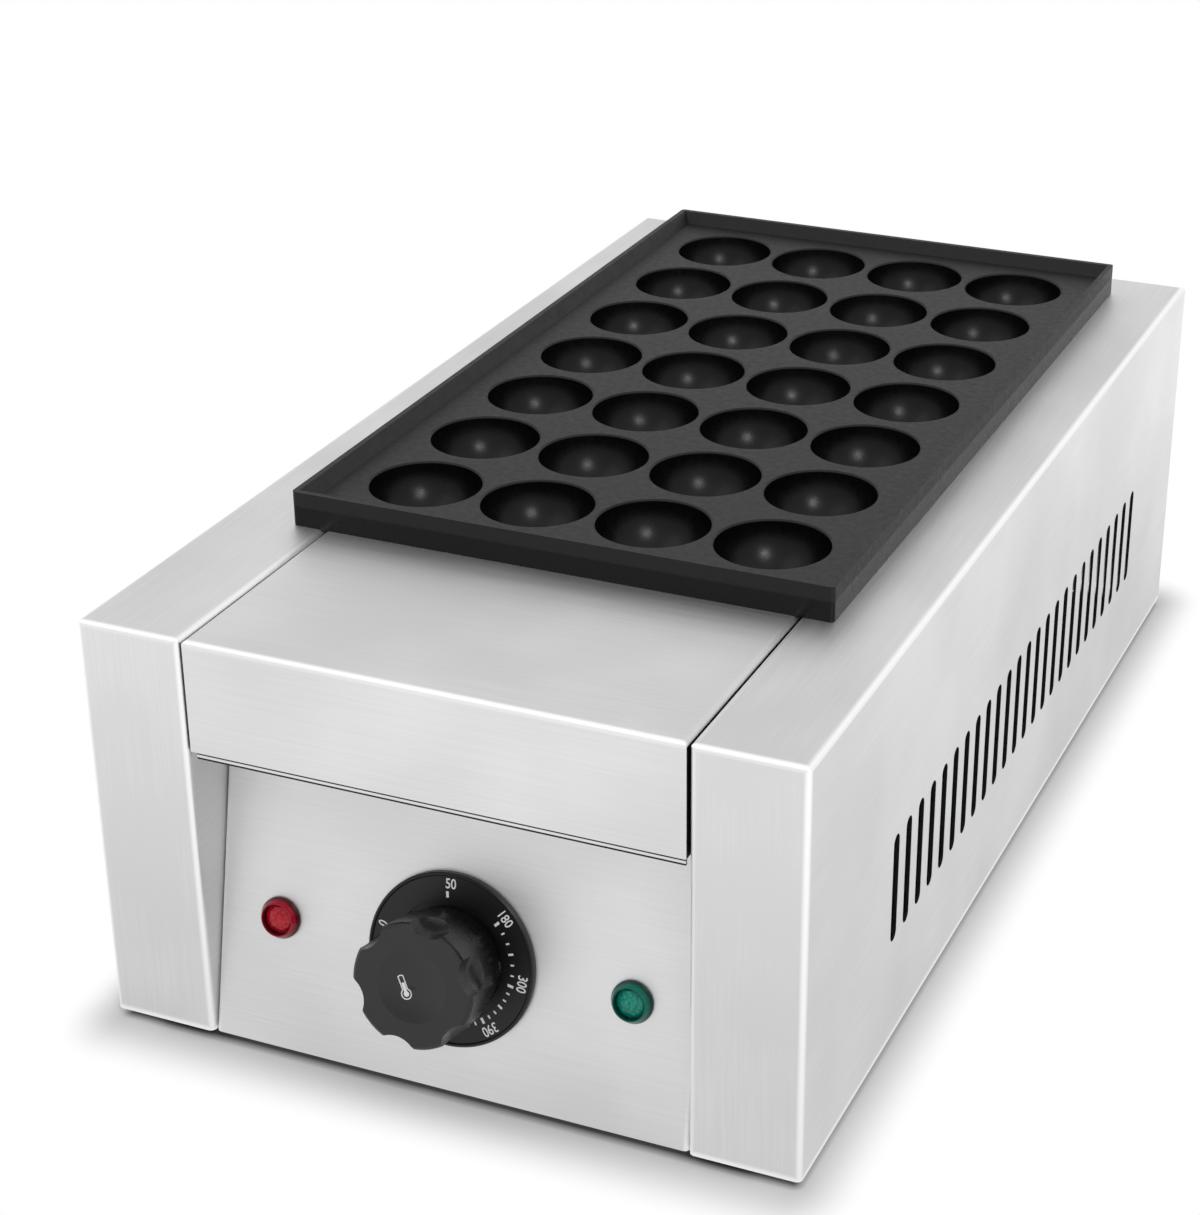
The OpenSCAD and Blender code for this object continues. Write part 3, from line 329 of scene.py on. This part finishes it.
# Plain metals. Each has two tones, a roughness, the size of its mottle, and the nodes that wear it.
mottleSettings = {"detail": 3.0, "roughSpread": (-0.05, 0.08), "relief": 0.08, "reliefDeep": 0.03 * mm}
metalFinishes = {
    # zinc spangle of galvanised sheet, about 6 mm across, dulled by heat
    "GalvanisedSheet": {"colour": "8A8C8E", "shade": "6E7073", "rough": 0.46, "mottle": 6 * mm,
                        "on": ["base_pan", "heat_shield", "clamp_bars", "bulb_clip"]},
    # bright zinc plating, faintly cloudy
    "ZincPlatedSteel": {"colour": "C2C3C4", "shade": "A6A7A8", "rough": 0.28, "mottle": 1.2 * mm,
                        "on": ["plate_studs", "plate_nuts", "clamp_screws", "shield_screws",
                               "thermostat_screws", "foot_screws", "foot_nuts", "base_screws",
                               "cover_screws", "rear_screws"]},
    # heater sheath, browned and blotchy from firing
    "OxidisedHeaterSheath": {"colour": "4A443F", "shade": "2F2B28", "rough": 0.48, "mottle": 4 * mm,
                             "on": ["heating_elements"]},
    # drawn copper, slightly tarnished in patches
    "DrawnCopper": {"colour": "B8734E", "shade": "96583A", "rough": 0.30, "mottle": 3 * mm,
                    "on": ["sensor_bulb", "capillary_tube"]},
    # turned brass, warm and bright
    "TurnedBrass": {"colour": "C9A85C", "shade": "A98A45", "rough": 0.28, "mottle": 2 * mm,
                    "on": ["terminal_screws", "earth_stud", "earth_nut"]},
    # turned steel with fine tool marks
    "TurnedSteel": {"colour": "B9BABC", "shade": "9C9D9F", "rough": 0.25, "mottle": 0.8 * mm,
                    "on": ["thermostat_shaft"]},
}


def mottledMetal(name, settings, finish):
    material, tree = newMaterial(name)
    mottle = speckle(tree, [finish["mottle"]] * 3, settings["detail"])
    tone = addNode(tree, "ShaderNodeMix", {0: mottle, 6: toLinear(finish["shade"]),
                                           7: toLinear(finish["colour"])}, data_type="RGBA")
    gloss = addNode(tree, "ShaderNodeMapRange", {
        "Value": mottle, **noiseSpan, "To Min": finish["rough"] + settings["roughSpread"][0],
        "To Max": finish["rough"] + settings["roughSpread"][1]})
    relief = addNode(tree, "ShaderNodeBump", {"Height": mottle, "Strength": settings["relief"],
                                              "Distance": settings["reliefDeep"]})
    metal = addNode(tree, "ShaderNodeBsdfPrincipled", {
        "Base Color": tone.outputs[2], "Metallic": 1.0, "Roughness": gloss.outputs[0],
        "Normal": relief.outputs[0]})
    addNode(tree, "ShaderNodeOutputMaterial", {"Surface": metal.outputs[0]})
    return material


# Moulded and glazed pieces. Each has two tones, a roughness, an IOR, the size and depth of the
# skin's texture, and the nodes that wear it.
skinSettings = {"detail": 2.0, "roughSpread": (-0.04, 0.06), "relief": 0.3}
skinFinishes = {
    # glazed ceramic bushes, cream and matt
    "SteatiteCeramic": {"colour": "E9E4D6", "shade": "DAD3C2", "rough": 0.50, "ior": 1.6,
                        "grain": 0.8 * mm, "deep": 0.02 * mm, "on": ["element_terminals"]},
    # phenolic resin, dark with a dull shine
    "MouldedPhenolic": {"colour": "1E1C1B", "shade": "141312", "rough": 0.35, "ior": 1.6,
                        "grain": 1.0 * mm, "deep": 0.01 * mm, "on": ["thermostat_body"]},
    # moulded nylon, smooth and slightly waxy
    "MouldedNylonWhite": {"colour": "E6E6E1", "shade": "DADAD4", "rough": 0.40, "ior": 1.5,
                          "grain": 1.2 * mm, "deep": 0.01 * mm,
                          "on": ["lamp_bodies", "lamp_nuts", "terminal_block"]},
    # the same nylon in black, a little duller
    "MouldedNylonBlack": {"colour": "1A1A1B", "shade": "111112", "rough": 0.42, "ior": 1.5,
                          "grain": 0.8 * mm, "deep": 0.02 * mm,
                          "on": ["cable_gland", "gland_cap", "gland_nut"]},
    # nitrile rubber, dead matt
    "MouldedRubber": {"colour": "161616", "shade": "0F0F0F", "rough": 0.72, "ior": 1.5,
                      "grain": 0.6 * mm, "deep": 0.03 * mm, "on": ["feet"]},
    # spark-eroded mould skin on the knob: an even satin black
    "MouldedPhenolicKnob": {"colour": "0C0C0D", "shade": "070708", "rough": 0.29, "ior": 1.50,
                            "grain": 0.5 * mm, "deep": 0.004 * mm, "on": ["control_knob"]},
    # black lacquer on the dial plate
    "LacqueredDial": {"colour": "0D0D0E", "shade": "09090A", "rough": 0.40, "ior": 1.42,
                      "grain": 0.6 * mm, "deep": 0.01 * mm, "on": ["dial_ring"]},
}


def mouldedSkin(name, settings, finish):
    material, tree = newMaterial(name)
    skin = speckle(tree, [finish["grain"]] * 3, settings["detail"])
    tone = addNode(tree, "ShaderNodeMix", {0: skin, 6: toLinear(finish["shade"]),
                                           7: toLinear(finish["colour"])}, data_type="RGBA")
    gloss = addNode(tree, "ShaderNodeMapRange", {
        "Value": skin, **noiseSpan, "To Min": finish["rough"] + settings["roughSpread"][0],
        "To Max": finish["rough"] + settings["roughSpread"][1]})
    relief = addNode(tree, "ShaderNodeBump", {"Height": skin, "Strength": settings["relief"],
                                              "Distance": finish["deep"]})
    moulded = addNode(tree, "ShaderNodeBsdfPrincipled", {
        "Base Color": tone.outputs[2], "Roughness": gloss.outputs[0], "IOR": finish["ior"],
        "Normal": relief.outputs[0]})
    addNode(tree, "ShaderNodeOutputMaterial", {"Surface": moulded.outputs[0]})
    return material


for name, finish in metalFinishes.items():
    dress(mottledMetal(name, mottleSettings, finish), *finish["on"])
for name, finish in skinFinishes.items():
    dress(mouldedSkin(name, skinSettings, finish), *finish["on"])
print("plain materials done")


def deselectAll():
    if bpy.context.object and bpy.context.object.mode != "OBJECT":
        bpy.ops.object.mode_set(mode="OBJECT")
    bpy.ops.object.select_all(action="DESELECT")


def settle(piece, where):  # moves the mesh to its place, the object stays at the origin
    piece.data.transform(where @ piece.matrix_world)
    piece.matrix_world = Matrix.Identity(4)
    return piece


def joinPieces(pieces, name):
    deselectAll()
    for piece in pieces:
        piece.select_set(True)
    bpy.context.view_layer.objects.active = pieces[0]
    bpy.ops.object.join()
    joined = bpy.context.object
    joined.name = name
    joined.data.name = name
    return joined


inkSettings = {"colour": "F4F4F4", "shade": "E6E6E6", "grain": 0.4 * mm, "detail": 2.0,
               "rough": (0.42, 0.55), "ior": 1.5}


def printedInk(settings):
    # screen-printed epoxy ink: flat white, very slightly uneven
    material, tree = newMaterial("ScreenPrintedInk")
    coat = speckle(tree, [settings["grain"]] * 3, settings["detail"])
    tone = addNode(tree, "ShaderNodeMix", {0: coat, 6: toLinear(settings["shade"]),
                                           7: toLinear(settings["colour"])}, data_type="RGBA")
    gloss = addNode(tree, "ShaderNodeMapRange", {
        "Value": coat, "To Min": settings["rough"][0], "To Max": settings["rough"][1]})
    ink = addNode(tree, "ShaderNodeBsdfPrincipled", {
        "Base Color": tone.outputs[2], "Roughness": gloss.outputs[0], "IOR": settings["ior"]})
    addNode(tree, "ShaderNodeOutputMaterial", {"Surface": ink.outputs[0]})
    return material


whiteInk = printedInk(inkSettings)

# Numbers and ticks round the dial, at degrees clockwise from the top. Ticks are width by length,
# and a span has so many minor ticks between two major ones.
dialSettings = {
    "face": 1.7 * mm, "ink": 0.06 * mm, "figureHeight": 3.4 * mm, "figureRadius": 24.7 * mm,
    "fontOverHeight": 1.36, "figureBolder": 0.05 * mm, "figureCurve": 6, "figureNarrow": 0.82,
    "tickRadius": 21.3 * mm, "major": (0.9 * mm, 2.0 * mm), "middle": (0.7 * mm, 1.7 * mm),
    "minor": (0.55 * mm, 1.2 * mm),
    "figures": [("0", -74), ("50", -3.5), ("180", 45), ("300", 95.5), ("390", 142.5)],
    "majorTicks": [-78, -6.5, 44.5, 100.5, 144.5],
    "minorSpans": [(44.5, 100.5, 5), (100.5, 144.5, 5), (144.5, 190, 5)],
}


def aroundDial(degrees, radius):
    return (onPanel @ Matrix.Rotation(math.radians(-degrees), 4, "Z")
            @ Matrix.Translation((0, radius, dialSettings["face"])))


def dialTick(size, degrees):
    deselectAll()
    bpy.ops.mesh.primitive_plane_add(size=1)
    tick = bpy.context.object
    bpy.ops.object.mode_set(mode="EDIT")
    bpy.ops.mesh.select_all(action="SELECT")
    bpy.ops.transform.resize(value=(size[0], size[1], 1), center_override=(0, 0, 0))
    bpy.ops.mesh.extrude_region_move(TRANSFORM_OT_translate={"value": (0, 0, dialSettings["ink"])})
    bpy.ops.mesh.select_all(action="SELECT")
    bpy.ops.mesh.normals_make_consistent(inside=False)
    bpy.ops.object.mode_set(mode="OBJECT")
    return settle(tick, aroundDial(degrees, dialSettings["tickRadius"]))


def dialFigure(text, degrees):
    deselectAll()
    bpy.ops.object.text_add()
    figure = bpy.context.object
    figure.data.body = text
    figure.data.align_x = "CENTER"
    figure.data.align_y = "CENTER"
    figure.data.size = dialSettings["figureHeight"] * dialSettings["fontOverHeight"]
    figure.data.extrude = dialSettings["ink"]
    figure.data.offset = dialSettings["figureBolder"]
    figure.data.resolution_u = dialSettings["figureCurve"]
    figure.scale = (dialSettings["figureNarrow"], 1, 1)
    bpy.ops.object.convert(target="MESH")
    return settle(bpy.context.object, aroundDial(degrees, dialSettings["figureRadius"]))


marks = [dialFigure(text, at) for text, at in dialSettings["figures"]]
marks += [dialTick(dialSettings["major"], at) for at in dialSettings["majorTicks"]]
for start, end, count in dialSettings["minorSpans"]:
    for i in range(1, count + 1):
        size = dialSettings["middle" if i == (count + 1) // 2 else "minor"]
        marks.append(dialTick(size, start + (end - start) * i / (count + 1)))
dialMarks = joinPieces(marks, "dial_marks")
dialMarks.data.materials.append(whiteInk)
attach(dialMarks, "machine")
print("dial marks done")


# Thermometer sign in the knob's dished face: an outlined bulb and stem round a solid core
signSettings = {
    "bulb": 1.8 * mm, "stem": 4.4 * mm, "line": 0.34 * mm, "core": 0.9 * mm, "coreStem": 2.8 * mm,
    "centre": (-1.9 * mm, -2.9 * mm), "tilt": 24, "ink": 0.05 * mm,
    "sides": 32, "shoulder": 0.82, "cuts": 2, "above": 1 * mm,
}


def thermometerShape(settings, radius, stem):  # a round bulb, its top edges drawn out into a stem
    deselectAll()
    bpy.ops.mesh.primitive_circle_add(vertices=settings["sides"], radius=radius, fill_type="NGON")
    shape = bpy.context.object
    shoulder = radius * settings["shoulder"]
    for edge in shape.data.edges:
        edge.select = all(shape.data.vertices[v].co.y > shoulder for v in edge.vertices)
    for vertex in shape.data.vertices:
        vertex.select = vertex.co.y > shoulder
    for face in shape.data.polygons:
        face.select = False
    bpy.ops.object.mode_set(mode="EDIT")
    bpy.ops.mesh.select_mode(type="EDGE")
    bpy.ops.mesh.extrude_edges_move(TRANSFORM_OT_translate={"value": (0, stem, 0)})
    bpy.ops.mesh.select_mode(type="FACE")
    bpy.ops.mesh.select_all(action="SELECT")
    return shape


def knobSign(settings):
    outline = thermometerShape(settings, settings["bulb"], settings["stem"])
    bpy.ops.mesh.inset(thickness=settings["line"])
    bpy.ops.mesh.delete(type="FACE")
    core = thermometerShape(settings, settings["core"], settings["coreStem"])
    bpy.ops.object.mode_set(mode="OBJECT")
    sign = joinPieces([outline, core], "knob_sign")
    bpy.ops.object.mode_set(mode="EDIT")
    bpy.ops.mesh.select_all(action="SELECT")
    bpy.ops.mesh.quads_convert_to_tris()
    bpy.ops.mesh.subdivide(number_cuts=settings["cuts"])
    bpy.ops.mesh.normals_make_consistent(inside=False)
    bpy.ops.object.mode_set(mode="OBJECT")
    knob = nodes["control_knob"]
    reach = max((vertex.co - dialCentre).dot(panelOut) for vertex in knob.data.vertices)
    sign.matrix_world = (onPanel @ Matrix.Translation((*settings["centre"], reach + settings["above"]))
                         @ Matrix.Rotation(math.radians(settings["tilt"]), 4, "Z"))
    wrap = sign.modifiers.new("OntoDish", "SHRINKWRAP")  # lays the ink on the dished face
    wrap.target = knob
    wrap.wrap_method = "PROJECT"
    wrap.use_project_z = True
    wrap.use_positive_direction = False
    wrap.use_negative_direction = True
    wrap.offset = settings["ink"] / 2
    bpy.ops.object.modifier_apply(modifier="OntoDish")
    film = sign.modifiers.new("Film", "SOLIDIFY")
    film.thickness = settings["ink"]
    film.offset = 0
    bpy.ops.object.modifier_apply(modifier="Film")
    return settle(sign, Matrix.Identity(4))


knobMark = knobSign(signSettings)
knobMark.data.materials.append(whiteInk)
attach(knobMark, "knob")
print("knob sign done")


# Jewel lamps: a turned rim, given as radius and height in millimetres, a moat, and a pebbled window
# cut from a ball. moat, band and foot are the radii between which the colour changes; the moat and
# the foot are painted dark as shade.
lensSettings = {
    "rim": [(6.9, 0.0), (6.9, 0.9), (6.4, 1.5), (6.1, 2.3), (5.8, 2.9), (5.5, 3.3), (5.2, 3.3),
            (4.85, 2.3), (4.8, 1.5)],
    "rimSides": 72, "rimSmooth": 40, "seat": 0.02 * mm,
    "window": 4.8 * mm, "windowHigh": 1.5 * mm, "ball": 7.8 * mm, "ballCuts": 6,
    "pebble": 1.3 * mm, "pebbleDeep": 0.16 * mm, "windowSmooth": 30,
    "moat": (4.3 * mm, 4.8 * mm), "band": (4.9 * mm, 5.5 * mm), "foot": (5.9 * mm, 6.6 * mm),
    # cellEdgeShade is how far the pebble cells darken at their edges, as painted shade
    "cellsPerMetre": 900.0, "cellScatter": 0.9, "cellFrom": (0.2, 0.8), "cellEdgeShade": 0.6,
    "rough": 0.12, "ior": 1.45, "specular": 0.4,
}


def lensRim(settings):
    deselectAll()
    steps = [(radius * mm, height * mm) for radius, height in settings["rim"]]
    bpy.ops.mesh.primitive_circle_add(vertices=settings["rimSides"], radius=steps[0][0],
                                      fill_type="NGON")
    rim = bpy.context.object
    bpy.ops.object.mode_set(mode="EDIT")
    bpy.ops.mesh.select_mode(type="FACE")
    bpy.ops.mesh.select_all(action="SELECT")
    for before, after in zip(steps, steps[1:]):
        rise = after[1] - before[1]
        bpy.ops.mesh.extrude_region_move(TRANSFORM_OT_translate={"value": (0, 0, rise)})
        bpy.ops.transform.resize(value=(after[0] / before[0], after[0] / before[0], 1),
                                 center_override=(0, 0, 0))
    bpy.ops.mesh.select_all(action="SELECT")
    bpy.ops.mesh.normals_make_consistent(inside=False)
    bpy.ops.object.mode_set(mode="OBJECT")
    bpy.ops.object.shade_smooth_by_angle(angle=math.radians(settings["rimSmooth"]))
    return rim


def lensWindow(settings):  # the cap of a ball, pressed into small lenses that break up the light
    deselectAll()
    ball = settings["ball"]
    bpy.ops.mesh.primitive_ico_sphere_add(subdivisions=settings["ballCuts"], radius=ball)
    window = bpy.context.object
    drop = math.sqrt(ball ** 2 - settings["window"] ** 2)
    bpy.ops.object.mode_set(mode="EDIT")
    bpy.ops.mesh.select_all(action="SELECT")
    bpy.ops.mesh.bisect(plane_co=(0, 0, drop), plane_no=(0, 0, 1), clear_inner=True, use_fill=True)
    bpy.ops.mesh.select_all(action="SELECT")
    bpy.ops.transform.translate(value=(0, 0, settings["windowHigh"] - drop))
    bpy.ops.mesh.normals_make_consistent(inside=False)
    bpy.ops.object.mode_set(mode="OBJECT")
    press = window.modifiers.new("Pressed", "DISPLACE")
    texture = bpy.data.textures.new("LensPebble", "VORONOI")
    texture.noise_scale = settings["pebble"]
    press.texture = texture
    press.texture_coords = "LOCAL"
    press.strength = -settings["pebbleDeep"]
    press.mid_level = 0.0
    bpy.ops.object.modifier_apply(modifier="Pressed")
    bpy.ops.object.shade_smooth_by_angle(angle=math.radians(settings["windowSmooth"]))
    return window


def tintedLens(name, settings, centre, colours):
    # clear tinted polycarbonate: a bright pebbled window whose cells are painted darker at their edges as
    # shade, a moat and an outer foot painted dark as shade, and a lighter rim, all with a hard gloss
    material, tree = newMaterial(name)
    where = addNode(tree, "ShaderNodeTexCoord")
    out = addNode(tree, "ShaderNodeVectorMath", {0: where.outputs["Object"], 1: centre},
                  operation="SUBTRACT")
    out = addNode(tree, "ShaderNodeVectorMath", {0: out.outputs[0], 1: panelOut},
                  operation="CROSS_PRODUCT")
    radius = addNode(tree, "ShaderNodeVectorMath", {0: out.outputs[0]}, operation="LENGTH")
    cells = addNode(tree, "ShaderNodeTexVoronoi", {
        "Vector": where.outputs["Object"], "Scale": settings["cellsPerMetre"],
        "Randomness": settings["cellScatter"]})
    # painted shade: the pebble cells darken towards their edges
    depth = addNode(tree, "ShaderNodeMapRange", {
        "Value": cells.outputs["Distance"], "From Min": settings["cellFrom"][0],
        "From Max": settings["cellFrom"][1], "To Max": settings["cellEdgeShade"]})
    tone = addNode(tree, "ShaderNodeMix", {0: depth.outputs[0], 6: toLinear(colours["window"]),
                                           7: toLinear(colours["deep"])}, data_type="RGBA")
    # painted shade: the moat and the foot take the deep colour
    for ring, colour in (("moat", "deep"), ("band", "band"), ("foot", "deep")):
        start, end = settings[ring]
        edge = addNode(tree, "ShaderNodeMapRange", {"Value": radius.outputs["Value"], "From Min": start,
                                                    "From Max": end})
        tone = addNode(tree, "ShaderNodeMix", {0: edge.outputs[0], 6: tone.outputs[2],
                                               7: toLinear(colours[colour])}, data_type="RGBA")
    tinted = addNode(tree, "ShaderNodeBsdfPrincipled", {
        "Base Color": tone.outputs[2], "Roughness": settings["rough"], "IOR": settings["ior"],
        "Specular IOR Level": settings["specular"]})
    addNode(tree, "ShaderNodeOutputMaterial", {"Surface": tinted.outputs[0]})
    return material


def lampLens(name, node, settings, colours):
    lens = joinPieces([lensRim(settings), lensWindow(settings)], name)
    low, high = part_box(node)
    aside = (low.x + high.x) / 2 - dialCentre.x
    settle(lens, onPanel @ Matrix.Translation((aside, 0, settings["seat"])))
    lens.data.materials.append(tintedLens("TintedPolycarbonate_" + name, settings,
                                          dialCentre + Vector((aside, 0, 0)), colours))
    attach(lens, "machine")
    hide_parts(node)


# deep is the painted shade colour of the moat, the foot and the pebble cells' edges
lensRed = {"window": "D8102E", "deep": "3C0208", "band": "A80E28"}
lensGreen = {"window": "079A82", "deep": "022E2A", "band": "07705E"}
lampLens("red_lens", "red_lamp_lens", lensSettings, lensRed)
lampLens("green_lens", "green_lamp_lens", lensSettings, lensGreen)
print("lamps done")


cameraSettings = {"place": (0.33917, -0.83393, 0.50877), "turn": (63.3504, -0.1240, 22.6629),
                  "lens": 80.071, "sensor": 36, "shift": (-0.07475, 0.03241), "nearest": 0.01}


def photoCamera(settings):
    data = bpy.data.cameras.new("PhotoCamera")
    data.lens = settings["lens"]
    data.sensor_width = settings["sensor"]
    data.shift_x, data.shift_y = settings["shift"]
    data.clip_start = settings["nearest"]
    camera = bpy.data.objects.new("PhotoCamera", data)
    camera.location = settings["place"]
    camera.rotation_euler = [math.radians(angle) for angle in settings["turn"]]
    scene.collection.objects.link(camera)
    return camera


scene.camera = photoCamera(cameraSettings)

# a key to the front right, a softbox to the front left, and one behind for the side folds
lightSettings = {
    "key": {"place": (0.98, -1.15, 1.46), "size": 0.45, "power": 8},
    "fold": {"place": (-0.92, -1.02, 1.74), "size": 1.1, "power": 2},
    "rim": {"place": (0.90, 1.58, 0.92), "size": 0.5, "power": 0.5},
}
lightsAim = Vector((0, 0, 0.08))


def softbox(name, settings):
    lamp = bpy.data.lights.new(name, "AREA")
    lamp.shape = "SQUARE"
    lamp.size = settings["size"]
    lamp.energy = settings["power"]
    box = bpy.data.objects.new(name, lamp)
    box.location = settings["place"]
    aim = lightsAim - box.location
    box.rotation_euler = aim.to_track_quat("-Z", "Y").to_euler()
    scene.collection.objects.link(box)


for name, settings in lightSettings.items():
    softbox(name + "Softbox", settings)

# The paper: darker along the line where it meets the machine, by a painted shadow, shaded near the
# machine (inset from its sides), and as bright to the camera as the backdrop further off. Gloss sees
# it lit evenly, dimmed near the machine as painted shade, brighter with distance.
floorSettings = {
    # the contact colour is a painted shadow where the paper meets the machine
    "radius": 12, "sides": 128, "drop": 0.2 * mm, "albedo": "D2D2D2", "paintedContactShadow": "585858",
    "contactReach": 4 * mm, "inset": 3.5 * mm, "reach": (0.022, 0.030, 1),
    # mirroredShadeNear is the floor's glow in gloss next to the machine, dimmed as painted shade
    "mirroredShadeNear": 0.80, "mirroredFar": 1.16, "mirroredReach": (0.44, 0.24, 1),
}


def farShare(tree, beside, reach):  # how far off a place is, as a share of the reach along each axis
    share = addNode(tree, "ShaderNodeVectorMath", {0: beside, 1: reach}, operation="DIVIDE")
    length = addNode(tree, "ShaderNodeVectorMath", {0: share.outputs[0]}, operation="LENGTH")
    return length.outputs["Value"]


def studioPaper(settings):
    # matt white paper that fades into the backdrop
    material, tree = newMaterial("StudioPaper")
    half = (wingHigh.x - settings["inset"], (wingHigh.y - wingLow.y) / 2 - settings["inset"], 0)
    path = addNode(tree, "ShaderNodeLightPath")
    where = addNode(tree, "ShaderNodeTexCoord")
    beside = addNode(tree, "ShaderNodeVectorMath", {0: where.outputs["Object"]}, operation="ABSOLUTE")
    beside = addNode(tree, "ShaderNodeVectorMath", {0: beside.outputs[0], 1: half},
                     operation="SUBTRACT")
    beside = addNode(tree, "ShaderNodeVectorMath", {0: beside.outputs[0], 1: (0, 0, 0)},
                     operation="MAXIMUM")
    away = addNode(tree, "ShaderNodeVectorMath", {0: beside.outputs[0]}, operation="LENGTH")
    fade = addNode(tree, "ShaderNodeMapRange", {
        "Value": farShare(tree, beside.outputs[0], settings["reach"])},
        interpolation_type="SMOOTHSTEP")
    # painted shade: in gloss the floor glows dimmer near the machine
    mirrored = addNode(tree, "ShaderNodeMapRange", {
        "Value": farShare(tree, beside.outputs[0], settings["mirroredReach"]),
        "To Min": settings["mirroredShadeNear"], "To Max": settings["mirroredFar"]})
    plain = addNode(tree, "ShaderNodeMath", {0: path.outputs["Is Camera Ray"],
                                             1: path.outputs["Is Transmission Ray"]},
                    operation="MAXIMUM")
    plain = addNode(tree, "ShaderNodeMath", {0: plain.outputs[0], 1: fade.outputs[0]},
                    operation="MULTIPLY")
    share = addNode(tree, "ShaderNodeMath", {0: plain.outputs[0], 1: path.outputs["Is Glossy Ray"]},
                    operation="MAXIMUM")
    strength = addNode(tree, "ShaderNodeMix", {0: path.outputs["Is Glossy Ray"], 2: 1.0,
                                               3: mirrored.outputs[0]})
    # painted shadow: the paper's colour darkens towards the machine's footprint
    close = addNode(tree, "ShaderNodeMapRange", {"Value": away.outputs["Value"],
                                                 "From Max": settings["contactReach"]})
    shade = addNode(tree, "ShaderNodeMix", {0: close.outputs[0], 6: toLinear(settings["paintedContactShadow"]),
                                            7: toLinear(settings["albedo"])}, data_type="RGBA")
    paper = addNode(tree, "ShaderNodeBsdfDiffuse", {"Color": shade.outputs[2]})
    glow = addNode(tree, "ShaderNodeEmission", {"Color": (1, 1, 1, 1), "Strength": strength.outputs[0]})
    both = addNode(tree, "ShaderNodeMixShader", {0: share.outputs[0], 1: paper.outputs[0],
                                                 2: glow.outputs[0]})
    addNode(tree, "ShaderNodeOutputMaterial", {"Surface": both.outputs[0]})
    return material


deselectAll()
bpy.ops.mesh.primitive_circle_add(vertices=floorSettings["sides"], radius=floorSettings["radius"],
                                  fill_type="NGON", location=(0, 0, -floorSettings["drop"]))
floor = bpy.context.object
floor.name = "studio_floor"
floor.data.materials.append(studioPaper(floorSettings))

# The room: white to the camera, a plain fill for the diffuse light, and for gloss a pale wall with
# a greyer stretch towards the front and a bright dome overhead that the folds mirror.
worldSettings = {"fill": 0.62, "wall": 0.84, "dark": 0.80, "darkTo": (-0.38, -0.92, 0.05),
                 "darkFrom": 0.55, "dome": 0.16, "domeFrom": (0.55, 0.85)}


def studioRoom(settings):
    world = bpy.data.worlds.new("StudioRoom")
    world.use_nodes = True
    tree = world.node_tree
    tree.nodes.clear()
    path = addNode(tree, "ShaderNodeLightPath")
    direction = addNode(tree, "ShaderNodeTexCoord")
    ahead = addNode(tree, "ShaderNodeVectorMath", {
        0: direction.outputs["Generated"], 1: Vector(settings["darkTo"]).normalized()},
        operation="DOT_PRODUCT")
    wall = addNode(tree, "ShaderNodeMapRange", {
        "Value": ahead.outputs["Value"], "From Min": settings["darkFrom"], "From Max": 1.0,
        "To Min": settings["wall"], "To Max": settings["dark"]}, interpolation_type="SMOOTHSTEP")
    height = addNode(tree, "ShaderNodeSeparateXYZ", {0: direction.outputs["Generated"]})
    dome = addNode(tree, "ShaderNodeMapRange", {
        "Value": height.outputs["Z"], "From Min": settings["domeFrom"][0],
        "From Max": settings["domeFrom"][1], "To Max": settings["dome"]},
        interpolation_type="SMOOTHSTEP")
    room = addNode(tree, "ShaderNodeMath", {0: wall.outputs[0], 1: dome.outputs[0]}, operation="ADD")
    lit = addNode(tree, "ShaderNodeMix", {
        0: path.outputs["Is Glossy Ray"], 2: settings["fill"], 3: room.outputs[0]})
    seen = addNode(tree, "ShaderNodeMath", {
        0: path.outputs["Is Camera Ray"], 1: path.outputs["Is Transmission Ray"]},
        operation="MAXIMUM")
    tone = addNode(tree, "ShaderNodeMix", {0: seen.outputs[0], 2: lit.outputs[0], 3: 1.0})
    backdrop = addNode(tree, "ShaderNodeBackground", {"Color": (1, 1, 1, 1),
                                                      "Strength": tone.outputs[0]})
    addNode(tree, "ShaderNodeOutputWorld", {"Surface": backdrop.outputs[0]})
    return world


scene.world = studioRoom(worldSettings)
scene.view_settings.view_transform = "Standard"
print("studio done")
